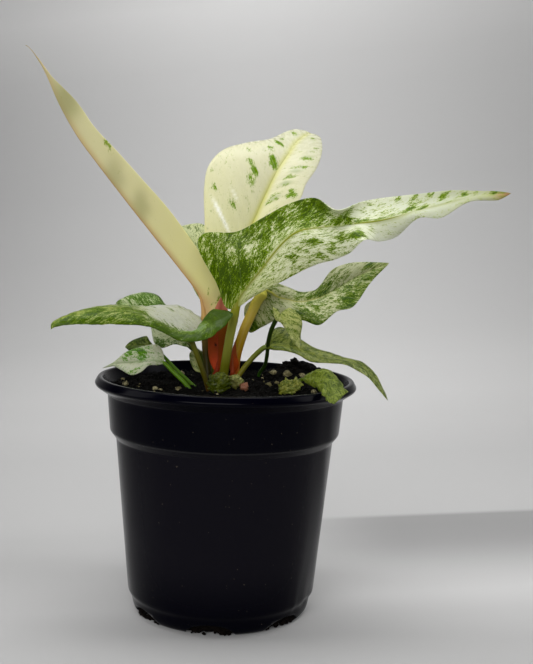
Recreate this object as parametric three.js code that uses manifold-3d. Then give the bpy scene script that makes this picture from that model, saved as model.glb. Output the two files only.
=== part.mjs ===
// A young variegated anthurium in a ten-centimetre nursery pot.
// Millimetres, +Z up. The origin is the centre of the pot's underside, on the
// surface that the pot stands on, and the viewer stands on the -Y side.
import * as THREE from "three";
import { mergeVertices } from "three/addons/utils/BufferGeometryUtils.js";
import Module from "manifold-3d";

const wasm = await Module();
wasm.setup();

// Pot: a thin tapered wall with a rolled rim, a stepped band below it and a notched foot
const POT_HEIGHT = 98.5;
const RIM_RADIUS = 54.3;
const CREST_RADIUS = 52;
const BAND_RADIUS = 49;
const BAND_TOP = 92;
const BAND_FOOT_RADIUS = 47.9;
const BAND_FOOT = 76.4;
const BODY_TOP_RADIUS = 45.3;
const BODY_TOP = 73.6;
const FOOT_STEP = 7;
const FOOT_STEP_RADIUS = 38.6;
const FOOT_RADIUS = 37.3;
const GROUND_RADIUS = 35.6;
const WALL = 1.3;
const FLOOR_THICKNESS = 1.6;
const SEGMENTS = 35;

// Drain notches round the foot, each cutting the wall and the edge of the floor
const NOTCH_COUNT = 7;
const NOTCH_WIDTH = 13;
const NOTCH_HEIGHT = 3.2;
const NOTCH_DEPTH = 9;
const NOTCH_FIRST_ANGLE = -3;

// A shallow ring in the underside, between the centre disc and the standing ring
const UNDERSIDE_RING_INNER = 14;
const UNDERSIDE_RING_OUTER = 25;
const UNDERSIDE_RING_RISE = 0.8;

// Soil: it fills the pot, is a little higher at the crown and heaped at the right rear
const SOIL_LEVEL = 94.2;
const SOIL_CLEARANCE = 0.3;
const SOIL_RINGS = 7;
const SOIL_LUMP_HEIGHT = 0.5;
const CROWN_MOUND = { x: 1, y: 6, height: 2, spread: 16 };
const REAR_MOUND = { x: 31, y: 22, height: 4.2, spread: 13 };

// Leaves: blade thickness, the clearance of each stalk in its hole, and how deep it stands
const BLADE_THICKNESS = 0.7;
const HOLE_CLEARANCE = 0.45;
const ROOT_DEPTH = 8;
const HOLE_ABOVE = 5;
const HOLE_SIDES = 8;

// Stalks: sides of their section, and how they run out under the blade
const STALK_SIDES = 8;
const STALK_INTO_BLADE = 1;
const STALK_END_SHARE = 0.5;
const TANGENT_STEP = 0.05;

// How far the midrib stands out below the blade, and the thickness of a blade where it is narrow
const KEEL_SHARE = 0.6;
const NARROW_THICKNESS_SHARE = 0.12;

// Mesh density of a leaf: stations between two rows, columns on each half of the blade, and how
// much closer the columns lie at the midrib
const COLUMN_CROWDING = 1.3;
const LARGE = { steps: 2, columns: 4, stalkRings: 6 };
const MEDIUM = { steps: 2, columns: 3, stalkRings: 5 };
const SMALL = { steps: 1, columns: 3, stalkRings: 4 };

// White grains in the soil, as [x, y, radius]
const GRAINS = [
  [-41, -8, 1.5], [-36, -10, 1.1], [-29, -16, 1.3], [-20.5, -15, 1.6], [-10.5, -17, 1], [-20, 30, 1.5],
  [-30, 18, 1.2], [-17, 12, 1.3], [12, 2, 1], [20.5, 10, 1.9], [26, 8, 2], [31.5, 4, 1.6], [17.5, -4, 1.2],
  [21.5, -7, 1], [18, -12, 2], [24, -24, 1.4], [-34, -30, 1.4], [-6, 38, 1.5], [8, 27, 1.3], [2, -36, 1.5],
  [-16, -38, 1.2], [36, -12, 1.3], [42, 6, 1.4], [-44, 10, 1.2],
];

// Points closer than this are one point of a solid
const MERGE_DISTANCE = 1e-4;

// Each leaf is its stalk, from the soil up, and the rows of its blade, from base to tip.
// A row holds the left margin, the midrib and the right margin, seen from the upper side.
const LEAVES = [
  // The newest leaf, a cream spear still folded along its midrib
  {
    name: "leaf_cream_spear",
    color: 0xd8d8a0,
    size: LARGE,
    stalkRadii: [1.6, 1.5],
    camber: [0, 0],
    stalk: [[-7, 7, 95.5], [-8.5, 8, 107.5], [-10, 8, 117]],
    base: [-10.5, 8, 126],
    rows: [
      [[-7.5, 3.5, 137], [-12.5, 8, 132.5], [-9, 13, 135]],
      [[-12.5, 0, 150], [-20.5, 8, 142.5], [-15, 16.5, 147.5]],
      [[-24.5, -1.5, 166], [-33, 8, 157.5], [-28, 17.5, 163.5]],
      [[-36, -1.5, 178.5], [-45, 8, 172], [-40, 17.5, 177]],
      [[-47, 0.5, 190], [-55.5, 8, 185], [-50.5, 15.5, 189.5]],
      [[-56.5, 2.5, 199.5], [-64, 8, 196], [-59.5, 13.5, 199.5]],
      [[-64.5, 4, 210], [-71.5, 8, 208.5], [-67.5, 12, 210]],
      [[-73, 5, 218.5], [-77.5, 8, 220], [-75, 11, 219.5]],
    ],
    tip: [-86, 8, 232.5],
  },
  // The tall white leaf at the back, arching away at its tip
  {
    name: "leaf_white_back",
    color: 0xdfe0bc,
    size: LARGE,
    stalkRadii: [1.9, 1.6],
    camber: [2, 1.5],
    stalk: [[-1.5, 12, 96], [-1, 12.5, 110.5], [-0.5, 13, 121]],
    base: [0, 13, 129.5],
    rows: [
      [[-7, 10.5, 135], [2, 14, 137], [7.5, 13, 136.5]],
      [[-10, 11, 153.5], [4.5, 15, 146], [11.5, 13, 145.5]],
      [[-11, 12, 165.5], [7, 17, 156], [16, 14, 155]],
      [[-11.5, 14.5, 176.5], [11, 19, 166], [23, 16, 164]],
      [[-10, 18, 186], [15, 22, 175.5], [29.5, 19, 173.5]],
      [[-4, 24, 193.5], [19.5, 26, 185], [32, 23, 180]],
      [[6.5, 32, 197.5], [24.5, 32, 193], [37, 30, 187.5]],
      [[19, 42, 203], [29.5, 41, 200], [40, 41, 195.5]],
      [[28, 52, 205.5], [34.5, 51, 203.5], [40, 52, 202]],
    ],
    tip: [38.5, 62, 203],
  },
  // The largest leaf, reaching forward to the right, its margin in deep waves
  {
    name: "leaf_large_front",
    color: 0x6f9a3c,
    size: LARGE,
    stalkRadii: [1.9, 1.7],
    camber: [-2, 1.5],
    stalk: [[-1.5, -2, 97], [-0.5, -3.5, 105], [1, -6, 116]],
    base: [3, -8, 127.5],
    rows: [
      [[-5, -15, 138.5], [4.5, -9.5, 132], [9, -12, 132.5]],
      [[-12.5, -17, 152], [8, -12, 137.5], [15, -17, 136.5]],
      [[-10, -15, 158], [12.5, -16, 143.5], [21.5, -22, 140.5]],
      [[2.5, -14, 159], [16.5, -20, 149.5], [28.5, -28, 145]],
      [[13, -17, 165], [21.5, -25, 156], [34, -34, 148]],
      [[22.5, -22, 170.5], [26.5, -30, 160], [39.5, -40, 150]],
      [[32, -31, 173], [34, -34, 161.5], [44.5, -47, 153]],
      [[39, -47, 168.5], [42.5, -38, 162.5], [49, -54, 158]],
      [[49.5, -36, 172], [50, -41, 164], [56, -43, 157.5]],
      [[59.5, -36, 174], [57.5, -44, 165.5], [62.5, -42, 159.5]],
      [[70.5, -42, 175.5], [68, -47, 168.5], [69, -50, 166.5]],
      [[81, -47, 177], [79, -50, 172], [77, -53, 167]],
      [[90.5, -51, 177], [88.5, -53, 174.5], [86.5, -55, 173]],
      [[96.5, -54.5, 177], [96.5, -55, 175.5], [97, -55.5, 174]],
    ],
    tip: [101.5, -56, 176.5],
  },
  // The mottled leaf at the right
  {
    name: "leaf_mottled_right",
    color: 0x8aa860,
    size: LARGE,
    stalkRadii: [2.3, 1.9],
    camber: [1.5, 1.5],
    stalk: [[3.5, 6.5, 96], [5.5, 7.5, 106], [8.5, 9, 116]],
    base: [13.5, 12, 132],
    rows: [
      [[14, 15.5, 135.5], [15.5, 13, 133.5], [13, 15.5, 127]],
      [[16.5, 16.5, 136.5], [18, 13, 133], [9.5, 18, 115]],
      [[20.5, 17.5, 137], [21, 13, 131.5], [15, 16, 117]],
      [[25.5, 18, 135.5], [25.5, 13, 130.5], [23, 14, 120]],
      [[31.5, 19, 133.5], [30.5, 13, 129.5], [32, 11, 122]],
      [[38.5, 19, 135], [37.5, 14, 131], [39, 9, 120.5]],
      [[44, 19, 143], [44, 14.5, 134], [46, 8, 126.5]],
      [[51, 17, 146.5], [50, 14, 138], [53, 7, 129]],
      [[60, 14, 147.5], [57.5, 13, 142.5], [60, 9, 139]],
    ],
    tip: [68, 11, 147.5],
  },
  // The narrow leaf that droops past the rim at the right
  {
    name: "leaf_drooping_right",
    color: 0x87995c,
    size: MEDIUM,
    stalkRadii: [1.3, 1.2],
    camber: [0.8, 0.8],
    stalk: [[6, 1.5, 95.5], [6.5, 1.5, 98], [8.5, 2, 102.5], [12, 2, 107.5]],
    base: [15.5, 1, 111],
    rows: [
      [[18, 3, 117], [18.5, 0, 112], [19, -2, 110.5]],
      [[22.5, 3.5, 119.5], [23, -1, 112], [23.5, -4, 110.5]],
      [[29.5, 1.5, 115.5], [29.5, -3, 111], [29, -7, 109.5]],
      [[36.5, -0.5, 111.5], [36, -5.5, 109.5], [34.5, -10, 107]],
      [[43, -3, 110], [42.5, -8, 108], [41, -13, 107]],
      [[49, -6, 108], [48.5, -11, 107.5], [47.5, -16, 107]],
      [[55.5, -9, 107], [53.5, -14, 106.5], [52.5, -18, 105]],
      [[60.5, -13, 103], [58.5, -17, 103], [57, -21, 102.5]],
      [[63, -17, 98], [62, -20, 98.5], [61, -22, 98]],
    ],
    tip: [65, -22, 93.5],
  },
  // A small leaf hanging from a thin dark stalk
  {
    name: "leaf_small_hanging",
    color: 0x9aa868,
    size: MEDIUM,
    stalkRadii: [0.75, 0.65],
    camber: [0.8, 0.8],
    stalk: [[13.5, 6, 96.5], [15.5, 2.5, 102], [16.5, -4.5, 110.5], [17.5, -8, 119.5]],
    base: [18.5, -11.5, 127],
    rows: [
      [[23.5, -11, 129], [20.5, -13, 126], [18, -13, 127]],
      [[28, -12, 127], [22, -14, 124], [19, -14.5, 124.5]],
      [[30, -13, 123.5], [24, -15.5, 122], [21.5, -15.5, 123]],
      [[29.5, -14, 118.5], [26, -16.5, 118.5], [24, -17.5, 119.5]],
      [[29.5, -15, 115.5], [27.5, -17, 115.5], [26, -18.5, 116.5]],
    ],
    tip: [29, -17.5, 113],
  },
  // A small leaf lying over the rim at the right front
  {
    name: "leaf_over_rim",
    color: 0x6f8c42,
    size: SMALL,
    stalkRadii: [0.9, 0.8],
    camber: [0.8, 0.8],
    stalk: [[26.5, -10, 96], [28.5, -12.5, 98.5]],
    base: [30.5, -17, 100.5],
    rows: [
      [[33.5, -19, 103.5], [33, -22, 102], [33, -24, 99.5]],
      [[37.5, -24, 106], [36, -28, 103], [35.5, -33, 99.5]],
      [[41.5, -28, 105.5], [38.5, -34.5, 103], [36.5, -41, 99]],
      [[44, -35, 102.5], [40, -39, 101], [38, -45, 97.5]],
      [[46, -41, 99.5], [41, -43, 98.5], [39, -47, 96.5]],
    ],
    tip: [41, -47, 96],
  },
  // The broad leaf at the left, with a lobe curling up at its base
  {
    name: "leaf_large_left",
    color: 0x9db07c,
    size: LARGE,
    stalkRadii: [1.4, 1.4],
    camber: [1, 1.5],
    stalk: [[-8, -14, 94.5], [-10, -14.5, 101], [-12, -15, 107.5]],
    base: [-14, -16, 114],
    rows: [
      [[-6, -12, 124.5], [-15, -16.5, 115], [-10.5, -5, 118.5]],
      [[1, -18, 126.5], [-16.5, -17, 116.5], [-11.5, 1, 122.5]],
      [[-2, -22, 121], [-18.5, -18, 117.5], [-15.5, 1, 125.5]],
      [[-9, -24, 116.5], [-21.5, -19, 119], [-20.5, 0, 127.5]],
      [[-18.5, -26, 116], [-25.5, -21, 121.5], [-27.5, -4, 128]],
      [[-27.5, -29, 120.5], [-32, -24, 125], [-34.5, -10, 127.5]],
      [[-35, -34, 122.5], [-37.5, -28, 128.5], [-40.5, -17, 129]],
      [[-43.5, -38, 123], [-44.5, -33, 129.5], [-46.5, -24, 129.5]],
      [[-51.5, -41, 123], [-52.5, -37, 129], [-53, -30, 129]],
      [[-58.5, -43, 123.5], [-59, -40, 127], [-59, -35, 126.5]],
    ],
    tip: [-65.5, -43, 123],
  },
  // The leaf behind it
  {
    name: "leaf_behind_left",
    color: 0x3f7a35,
    size: MEDIUM,
    stalkRadii: [1.5, 1.2],
    camber: [1, 2],
    stalk: [[-10.5, 3.5, 94], [-12, 5, 99.5], [-14, 6.5, 105]],
    base: [-15.5, 8, 109],
    rows: [
      [[-18.5, 7, 110], [-18.5, 10, 111.5], [-16, 15, 116]],
      [[-22.5, 9, 110.5], [-22.5, 13, 113.5], [-19, 20, 121.5]],
      [[-28, 12, 108.5], [-27, 17, 116.5], [-25, 25, 126.5]],
      [[-32.5, 16, 110.5], [-31.5, 21, 120], [-30.5, 29.5, 129.5]],
      [[-33.5, 21, 114.5], [-37, 25, 123], [-36.5, 32, 130.5]],
      [[-41, 26, 121], [-42.5, 29, 125], [-43, 34.5, 129.5]],
      [[-46.5, 32, 123.5], [-47, 33, 125.5], [-47, 36, 127]],
    ],
    tip: [-50.5, 37, 125],
  },
  // The low leaf at the left, with a dry thread for a tip
  {
    name: "leaf_low_left",
    color: 0xb4bda4,
    size: MEDIUM,
    stalkRadii: [0.9, 0.8],
    camber: [1, 1],
    stalk: [[-14.5, -11, 94], [-17, -10.5, 97], [-21.5, -9.5, 101]],
    base: [-25.5, -8, 104.5],
    rows: [
      [[-28, -10, 104], [-28, -8, 105], [-26.5, -5, 109]],
      [[-31.5, -12, 104], [-32, -8, 105], [-29, -4, 111.5]],
      [[-34.5, -13, 101.5], [-35.5, -7.5, 104.5], [-33.5, -4, 111]],
      [[-38.5, -12.5, 100], [-39, -7, 104], [-38.5, -4, 109.5]],
      [[-43, -9, 101.5], [-43, -6, 103.5], [-42.5, -4, 107.5]],
      [[-47, -5, 101.5], [-47, -4, 103], [-46.5, -3.5, 104.5]],
    ],
    tip: [-51.5, -3, 101],
  },
  // A small curled leaf behind the low one
  {
    name: "leaf_curled_left",
    color: 0x5d7c3c,
    size: SMALL,
    stalkRadii: [0.85, 0.7],
    camber: [0.6, 0.6],
    stalk: [[-12.5, -5, 94], [-15.5, -3.5, 96.5], [-21.5, -0.5, 101.5]],
    base: [-28, 2, 107.5],
    rows: [
      [[-32, 0, 108], [-31.5, 2.5, 109], [-32.5, 4, 112]],
      [[-35, 0, 108], [-34.5, 3, 110], [-34, 4.5, 114]],
      [[-38, 1, 108.5], [-37.5, 3.5, 110], [-37.5, 5, 113]],
      [[-41, 3, 108], [-40.5, 4.5, 110], [-40.5, 6, 111.5]],
    ],
    tip: [-43, 6, 109],
  },
  // A small folded leaf at the crown
  {
    name: "leaf_folded_crown",
    color: 0x93a66a,
    size: SMALL,
    stalkRadii: [0.8, 0.7],
    rootDepth: 4,
    camber: [0.5, 0.5],
    stalk: [[-10, 11.5, 95.5], [-10, 12, 97]],
    base: [-10.5, 12.5, 98],
    rows: [
      [[-13.5, 12.5, 99], [-11.5, 13.5, 100], [-9.5, 14, 101]],
      [[-15.5, 13.5, 102.5], [-12.5, 14.5, 103], [-10, 15.5, 104.5]],
      [[-16, 14.5, 106], [-13.5, 15, 105.5], [-11, 16, 107]],
    ],
    tip: [-14, 15.5, 109],
  },
  // A round crinkled leaf at the front of the crown
  {
    name: "leaf_crinkled_crown",
    color: 0x5f7d40,
    size: SMALL,
    stalkRadii: [0.9, 0.9],
    rootDepth: 4,
    camber: [0.6, 0.6],
    stalk: [[-4.5, -20, 94], [-4.5, -20, 95]],
    base: [-4, -20.5, 96],
    rows: [
      [[-6.5, -19, 98], [-3.5, -21, 97], [0.5, -20, 97]],
      [[-7, -19.5, 99.5], [-3, -21.5, 99], [1.5, -20.5, 98.5]],
      [[-5.5, -20, 102], [-2.5, -21.5, 101], [1.5, -21, 100.5]],
    ],
    tip: [-1.5, -20.5, 103],
  },
  // A pale crinkled leaf beside it
  {
    name: "leaf_crinkled_pale",
    color: 0xb9c08a,
    size: SMALL,
    stalkRadii: [0.8, 0.8],
    rootDepth: 4,
    camber: [0.4, 0.4],
    stalk: [[3.5, -11.5, 94], [3.5, -11.5, 95]],
    base: [3.5, -11.5, 96],
    rows: [
      [[1.5, -11, 98], [3.5, -12.5, 97.5], [6.5, -11.5, 97.5]],
      [[1.5, -11, 99.5], [4, -12.5, 99], [6.5, -12, 99]],
    ],
    tip: [4.5, -11.5, 101],
  },
  // A crinkled leaf at the right front
  {
    name: "leaf_crinkled_right",
    color: 0xa3b070,
    size: SMALL,
    stalkRadii: [0.8, 0.8],
    rootDepth: 4,
    camber: [0.4, 0.4],
    stalk: [[21.5, -17.5, 94.5], [21.5, -18, 95.5]],
    base: [22.5, -18.5, 96],
    rows: [
      [[21.5, -16.5, 98.5], [23.5, -19, 97], [24, -20, 95.5]],
      [[24.5, -16.5, 100.5], [26, -19.5, 98], [27, -21, 96]],
      [[28, -18.5, 100.5], [28, -20.5, 98.5], [28.5, -21.5, 97.5]],
    ],
    tip: [29.5, -21.5, 98.5],
  },
  // A dry pink scrap of old sheath, standing at the crown
  {
    name: "scrap_pink",
    color: 0xb98472,
    size: SMALL,
    stalkRadii: [0.5, 0.5],
    rootDepth: 4,
    camber: [0.3, 0.3],
    stalk: [[7, -14.5, 94], [7, -14.5, 95]],
    base: [7, -14.5, 95.5],
    rows: [
      [[5.5, -14, 97.5], [7, -15, 97], [8.5, -14, 97]],
      [[5.5, -14, 98.5], [7.5, -15, 98], [9, -14.5, 98]],
    ],
    tip: [8, -14.5, 99],
  },
  // The rear leaf, mostly hidden by the others
  {
    name: "leaf_rear",
    color: 0xc4cda0,
    size: SMALL,
    stalkRadii: [1.5, 1.3],
    camber: [1, 1],
    stalk: [[-5.5, 16, 95], [-6, 19, 107], [-7.5, 22, 116.5]],
    base: [-9, 25, 124],
    rows: [
      [[-15, 29, 132], [-10, 27, 129], [-5, 28, 132.5]],
      [[-18.5, 33, 140.5], [-11, 30, 135.5], [-3.5, 32, 140]],
      [[-22.5, 39, 147.5], [-12.5, 34, 142.5], [-5, 37, 147.5]],
      [[-24.5, 44, 153], [-14.5, 38, 149], [-7.5, 42, 154]],
      [[-26, 49, 157], [-17.5, 43, 154], [-11, 47, 160]],
      [[-26.5, 53, 159.5], [-21, 48, 158], [-15.5, 51, 161.5]],
    ],
    tip: [-24.5, 54, 159.5],
  },
  // The red sheath that wrapped the newest leaf
  {
    name: "sheath_red_large",
    color: 0xc4452c,
    size: SMALL,
    stalkRadii: [2.4, 2.4],
    flatStalk: 0.8,
    camber: [0, 0],
    stalk: [[-4, 3.5, 94], [-4, 3.5, 96.5]],
    base: [-4, 3, 98.5],
    rows: [
      [[-0.5, 5, 105], [-4, 2.5, 105], [-7.5, 5, 104.5]],
      [[0, 5.5, 112], [-4, 2.5, 112], [-8, 5.5, 111.5]],
      [[0.5, 5.5, 119.5], [-4, 3, 120], [-7.5, 5.5, 119.5]],
      [[-0.5, 5, 125.5], [-3.5, 3, 126], [-5.5, 5, 125.5]],
    ],
    tip: [-3, 4, 131.5],
  },
  // A smaller red sheath, ending in a dry thread
  {
    name: "sheath_red_small",
    color: 0xb85a35,
    size: SMALL,
    stalkRadii: [1.3, 1.3],
    flatStalk: 0.8,
    rootDepth: 4,
    camber: [0, 0],
    stalk: [[2, 1.5, 94.5], [2, 1.5, 96.5]],
    base: [2.5, 1, 98.5],
    rows: [
      [[5, 2.5, 103], [2.5, 1, 103], [1, 2.5, 103]],
      [[4, 2.5, 107.5], [2.5, 1.5, 108], [1.5, 2.5, 107.5]],
    ],
    tip: [3.5, 2.5, 114],
  },
];

const vec = (p) => new THREE.Vector3(p[0], p[1], p[2]);

// The point at place t of a smooth curve through all the points, one unit of t between two points
function splinePoint(points, t) {
  const last = points.length - 1;
  const i = Math.min(Math.floor(t), last - 1);
  const f = t - i;
  const b = points[i];
  const c = points[i + 1];
  const a = points[i - 1] ?? b.clone().multiplyScalar(2).sub(c);
  const d = points[i + 2] ?? c.clone().multiplyScalar(2).sub(b);
  const point = new THREE.Vector3();
  for (const axis of ["x", "y", "z"]) {
    const slopeIn = (c[axis] - a[axis]) / 2;
    const slopeOut = (d[axis] - b[axis]) / 2;
    const bend = 2 * (b[axis] - c[axis]) + slopeIn + slopeOut;
    const pull = 3 * (c[axis] - b[axis]) - 2 * slopeIn - slopeOut;
    point[axis] = b[axis] + f * (slopeIn + f * (pull + f * bend));
  }
  return point;
}

// Places across the blade, from -1 at the left margin to 1 at the right, closer at the midrib
function placesAcross(columns) {
  const places = [];
  for (let j = -columns; j <= columns; j += 1) {
    places.push(Math.sign(j) * Math.pow(Math.abs(j) / columns, COLUMN_CROWDING));
  }
  return places;
}

// The direction square to the blade, on its upper side, at each point of the grid:
// the mean over the cells that meet there, the larger ones counting for more
function gridNormals(grid) {
  const normals = grid.map((row) => row.map(() => new THREE.Vector3()));
  for (let i = 0; i + 1 < grid.length; i += 1) {
    for (let j = 0; j + 1 < grid[i].length; j += 1) {
      const rising = grid[i + 1][j + 1].clone().sub(grid[i][j]);
      const falling = grid[i + 1][j].clone().sub(grid[i][j + 1]);
      const square = rising.cross(falling);
      for (const [di, dj] of [[0, 0], [0, 1], [1, 0], [1, 1]]) {
        normals[i + di][j + dj].add(square);
      }
    }
  }
  return normals.map((row) => row.map((normal) => normal.normalize()));
}

// The three long lines of a blade from its base: left margin, midrib, right margin
function bladeLines(leaf) {
  const [left, rib, right] = [0, 1, 2].map((side) => leaf.rows.map((row) => vec(row[side])));
  const base = vec(leaf.base);
  const tip = vec(leaf.tip);
  return { left: [base, ...left, tip], rib: [base, ...rib, tip], right: [base, ...right, tip] };
}

// A point of a margin. Past the last row the margin closes straight in on the midrib.
function marginPoint(margin, rib, t) {
  const lastRow = margin.length - 2;
  if (t <= lastRow) {
    return splinePoint(margin, t);
  }
  const reach = margin[lastRow].clone().sub(rib[lastRow]);
  return splinePoint(rib, t).addScaledVector(reach, lastRow + 1 - t);
}

// The middle surface of a blade as a grid of points, with each half arched by its camber
function bladeGrid(leaf) {
  const { steps, columns } = leaf.size;
  const { left, rib, right } = bladeLines(leaf);
  const places = placesAcross(columns);
  const stations = (rib.length - 1) * steps;
  const flat = [];
  for (let i = 1; i < stations; i += 1) {
    const t = i / steps;
    const middle = splinePoint(rib, t);
    const margins = [marginPoint(left, rib, t), marginPoint(right, rib, t)];
    flat.push(places.map((v) => middle.clone().lerp(margins[v < 0 ? 0 : 1], Math.abs(v))));
  }
  const normals = gridNormals(flat);
  return flat.map((row, i) => row.map((point, j) => {
    const v = places[j];
    const camber = leaf.camber[v < 0 ? 0 : 1] * 4 * Math.abs(v) * (1 - Math.abs(v));
    const fade = Math.sin(Math.PI * (i + 1) / stations);
    return point.clone().addScaledVector(normals[i][j], camber * fade);
  }));
}

// Rings of a blade: its upper face from left to right, then its lower face from right to left.
// The blade thins where it is narrow, and the midrib stands out below it less toward the tip.
function bladeRings(leaf) {
  const grid = bladeGrid(leaf);
  const normals = gridNormals(grid);
  const { columns } = leaf.size;
  return grid.map((row, i) => {
    const width = row[0].distanceTo(row[columns]) + row[columns].distanceTo(row.at(-1));
    const half = Math.min(BLADE_THICKNESS / 2, width * NARROW_THICKNESS_SHARE);
    const keel = Math.min(KEEL_SHARE * leaf.stalkRadii[1] * (1 - i / grid.length), half * 2);
    const upper = row.map((p, j) => p.clone().addScaledVector(normals[i][j], half));
    const lower = row.map((p, j) => {
      const depth = half + (j === columns ? keel : 0);
      return p.clone().addScaledVector(normals[i][j], -depth);
    });
    return [...upper, ...lower.reverse()];
  });
}

// Rings of a stalk, from its buried end to where it runs out under the midrib
function stalkRings(leaf) {
  const path = [...leaf.stalk.map(vec), ...bladeLines(leaf).rib.slice(0, 3)];
  const across = vec(leaf.rows[0][2]).sub(vec(leaf.rows[0][0]));
  const [startRadius, endRadius] = leaf.stalkRadii;
  const base = leaf.stalk.length;
  const count = leaf.size.stalkRings;
  const stops = [0];
  for (let k = 1; k <= count; k += 1) {
    stops.push(base * k / count);
  }
  stops.push(base + STALK_INTO_BLADE);
  const rings = stops.map((t) => {
    const radius = THREE.MathUtils.lerp(startRadius, endRadius, Math.min(t / base, 1));
    const fade = t > base ? STALK_END_SHARE : 1;
    const ahead = splinePoint(path, t + TANGENT_STEP);
    const along = ahead.sub(splinePoint(path, Math.max(t - TANGENT_STEP, 0))).normalize();
    return oval(splinePoint(path, t), along, across, radius * fade, (leaf.flatStalk ?? radius) * fade);
  });
  const start = vec(leaf.stalk[0]);
  const down = buriedEnd(leaf).sub(start);
  const buried = rings[0].map((point) => point.clone().add(down));
  return [buried, ...rings];
}

// The end of the stalk's taper, inside the blade
function stalkEnd(leaf) {
  return splinePoint(bladeLines(leaf).rib, STALK_INTO_BLADE * 2);
}

// An oval ring square to a direction, its wide axis turned as near as it can to across
function oval(centre, along, across, width, thick) {
  const side = across.clone().addScaledVector(along, -across.dot(along)).normalize();
  const up = side.clone().cross(along);
  const ring = [];
  for (let k = 0; k < STALK_SIDES; k += 1) {
    const angle = -2 * Math.PI * k / STALK_SIDES;
    const point = centre.clone().addScaledVector(side, width * Math.cos(angle));
    ring.push(point.addScaledVector(up, thick * Math.sin(angle)));
  }
  return ring;
}

// Where a stalk ends in the soil: straight on from its first stretch
function buriedEnd(leaf) {
  const start = vec(leaf.stalk[0]);
  const down = start.clone().sub(vec(leaf.stalk[1])).normalize();
  return start.addScaledVector(down, leaf.rootDepth ?? ROOT_DEPTH);
}

// A closed skin over the rings, ending in one point at each end. A quad is split along
// the same diagonal on the upper and the lower face, so that a thin blade never crosses itself.
function skin(rings, startPoint, endPoint) {
  const size = rings[0].length;
  const points = [...rings.flat(), startPoint, endPoint];
  const start = points.length - 2;
  const end = points.length - 1;
  const last = (rings.length - 1) * size;
  const indices = [];
  for (let k = 0; k < size; k += 1) {
    const next = (k + 1) % size;
    indices.push(start, next, k);
    indices.push(end, last + k, last + next);
    for (let i = 0; i < rings.length - 1; i += 1) {
      const a = i * size + k;
      const b = i * size + next;
      const c = b + size;
      const d = a + size;
      if (k < size / 2) {
        indices.push(a, b, c, a, c, d);
      } else {
        indices.push(b, c, d, b, d, a);
      }
    }
  }
  const geometry = new THREE.BufferGeometry().setFromPoints(points);
  geometry.setIndex(indices);
  return geometry;
}

// A leaf in one piece: its blade, joined to the stalk that runs in under the midrib
function leafGeometry(leaf) {
  const blade = skin(bladeRings(leaf), vec(leaf.base), vec(leaf.tip));
  const stalk = skin(stalkRings(leaf), buriedEnd(leaf), stalkEnd(leaf));
  return toGeometry(toSolid(blade).add(toSolid(stalk)));
}

function toSolid(geometry) {
  const bare = geometry.clone();
  bare.deleteAttribute("normal");
  bare.deleteAttribute("uv");
  const merged = mergeVertices(bare, MERGE_DISTANCE);
  return new wasm.Manifold(new wasm.Mesh({
    numProp: 3,
    vertProperties: new Float32Array(merged.getAttribute("position").array),
    triVerts: new Uint32Array(merged.index.array),
  }));
}

function toGeometry(solid) {
  const mesh = solid.getMesh();
  const geometry = new THREE.BufferGeometry();
  geometry.setAttribute("position", new THREE.BufferAttribute(new Float32Array(mesh.vertProperties), 3));
  geometry.setIndex(new THREE.BufferAttribute(new Uint32Array(mesh.triVerts), 1));
  return geometry;
}

// A lathe turned about +Z from [radius, height] points that run up the outside
function turned(profile, segments) {
  const lathe = new THREE.LatheGeometry(profile.map(([r, z]) => new THREE.Vector2(r, z)), segments);
  return lathe.rotateX(Math.PI / 2);
}

// Radius of the pot's outer wall below the band, at height z
function bodyRadius(z) {
  const t = (z - FOOT_STEP) / (BODY_TOP - FOOT_STEP);
  return THREE.MathUtils.lerp(FOOT_STEP_RADIUS + 0.6, BODY_TOP_RADIUS, t);
}

// The pot's inner wall from the floor to the crest, as [radius, height]
const POT_INSIDE = [
  [FOOT_RADIUS - WALL - 1.2, FLOOR_THICKNESS],
  [FOOT_RADIUS - WALL, FLOOR_THICKNESS + 2],
  [bodyRadius(FOOT_STEP + 1) - WALL, FOOT_STEP + 2],
  [bodyRadius(40) - WALL, 40],
  [BODY_TOP_RADIUS - WALL, BODY_TOP + 0.6],
  [BAND_FOOT_RADIUS - WALL, BAND_FOOT + 1.6],
  [BAND_RADIUS - WALL, BAND_TOP - 1],
  [CREST_RADIUS - 2.6, POT_HEIGHT - 3.4],
  [CREST_RADIUS - 1.2, POT_HEIGHT - 0.5],
];

function potGeometry() {
  const outside = [
    [0, 0],
    [UNDERSIDE_RING_INNER, 0],
    [UNDERSIDE_RING_INNER + 1.5, UNDERSIDE_RING_RISE],
    [UNDERSIDE_RING_OUTER - 1.5, UNDERSIDE_RING_RISE],
    [UNDERSIDE_RING_OUTER, 0],
    [GROUND_RADIUS, 0],
    [FOOT_RADIUS, 1.6],
    [FOOT_RADIUS + 0.5, FOOT_STEP - 1.4],
    [FOOT_STEP_RADIUS + 0.6, FOOT_STEP],
    [bodyRadius(40), 40],
    [BODY_TOP_RADIUS, BODY_TOP],
    [BAND_FOOT_RADIUS - 0.7, BODY_TOP + 0.9],
    [BAND_FOOT_RADIUS, BAND_FOOT],
    [BAND_RADIUS, BAND_TOP - 2.5],
    [BAND_RADIUS + 0.8, BAND_TOP],
    [RIM_RADIUS - 0.9, BAND_TOP + 1.2],
    [RIM_RADIUS, BAND_TOP + 2.6],
    [RIM_RADIUS - 0.3, POT_HEIGHT - 1.8],
    [CREST_RADIUS + 0.5, POT_HEIGHT],
  ];
  const inside = [...POT_INSIDE].reverse();
  const body = toSolid(turned([...outside, ...inside, [0, FLOOR_THICKNESS]], SEGMENTS));
  return toGeometry(body.subtract(notches()));
}

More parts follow.
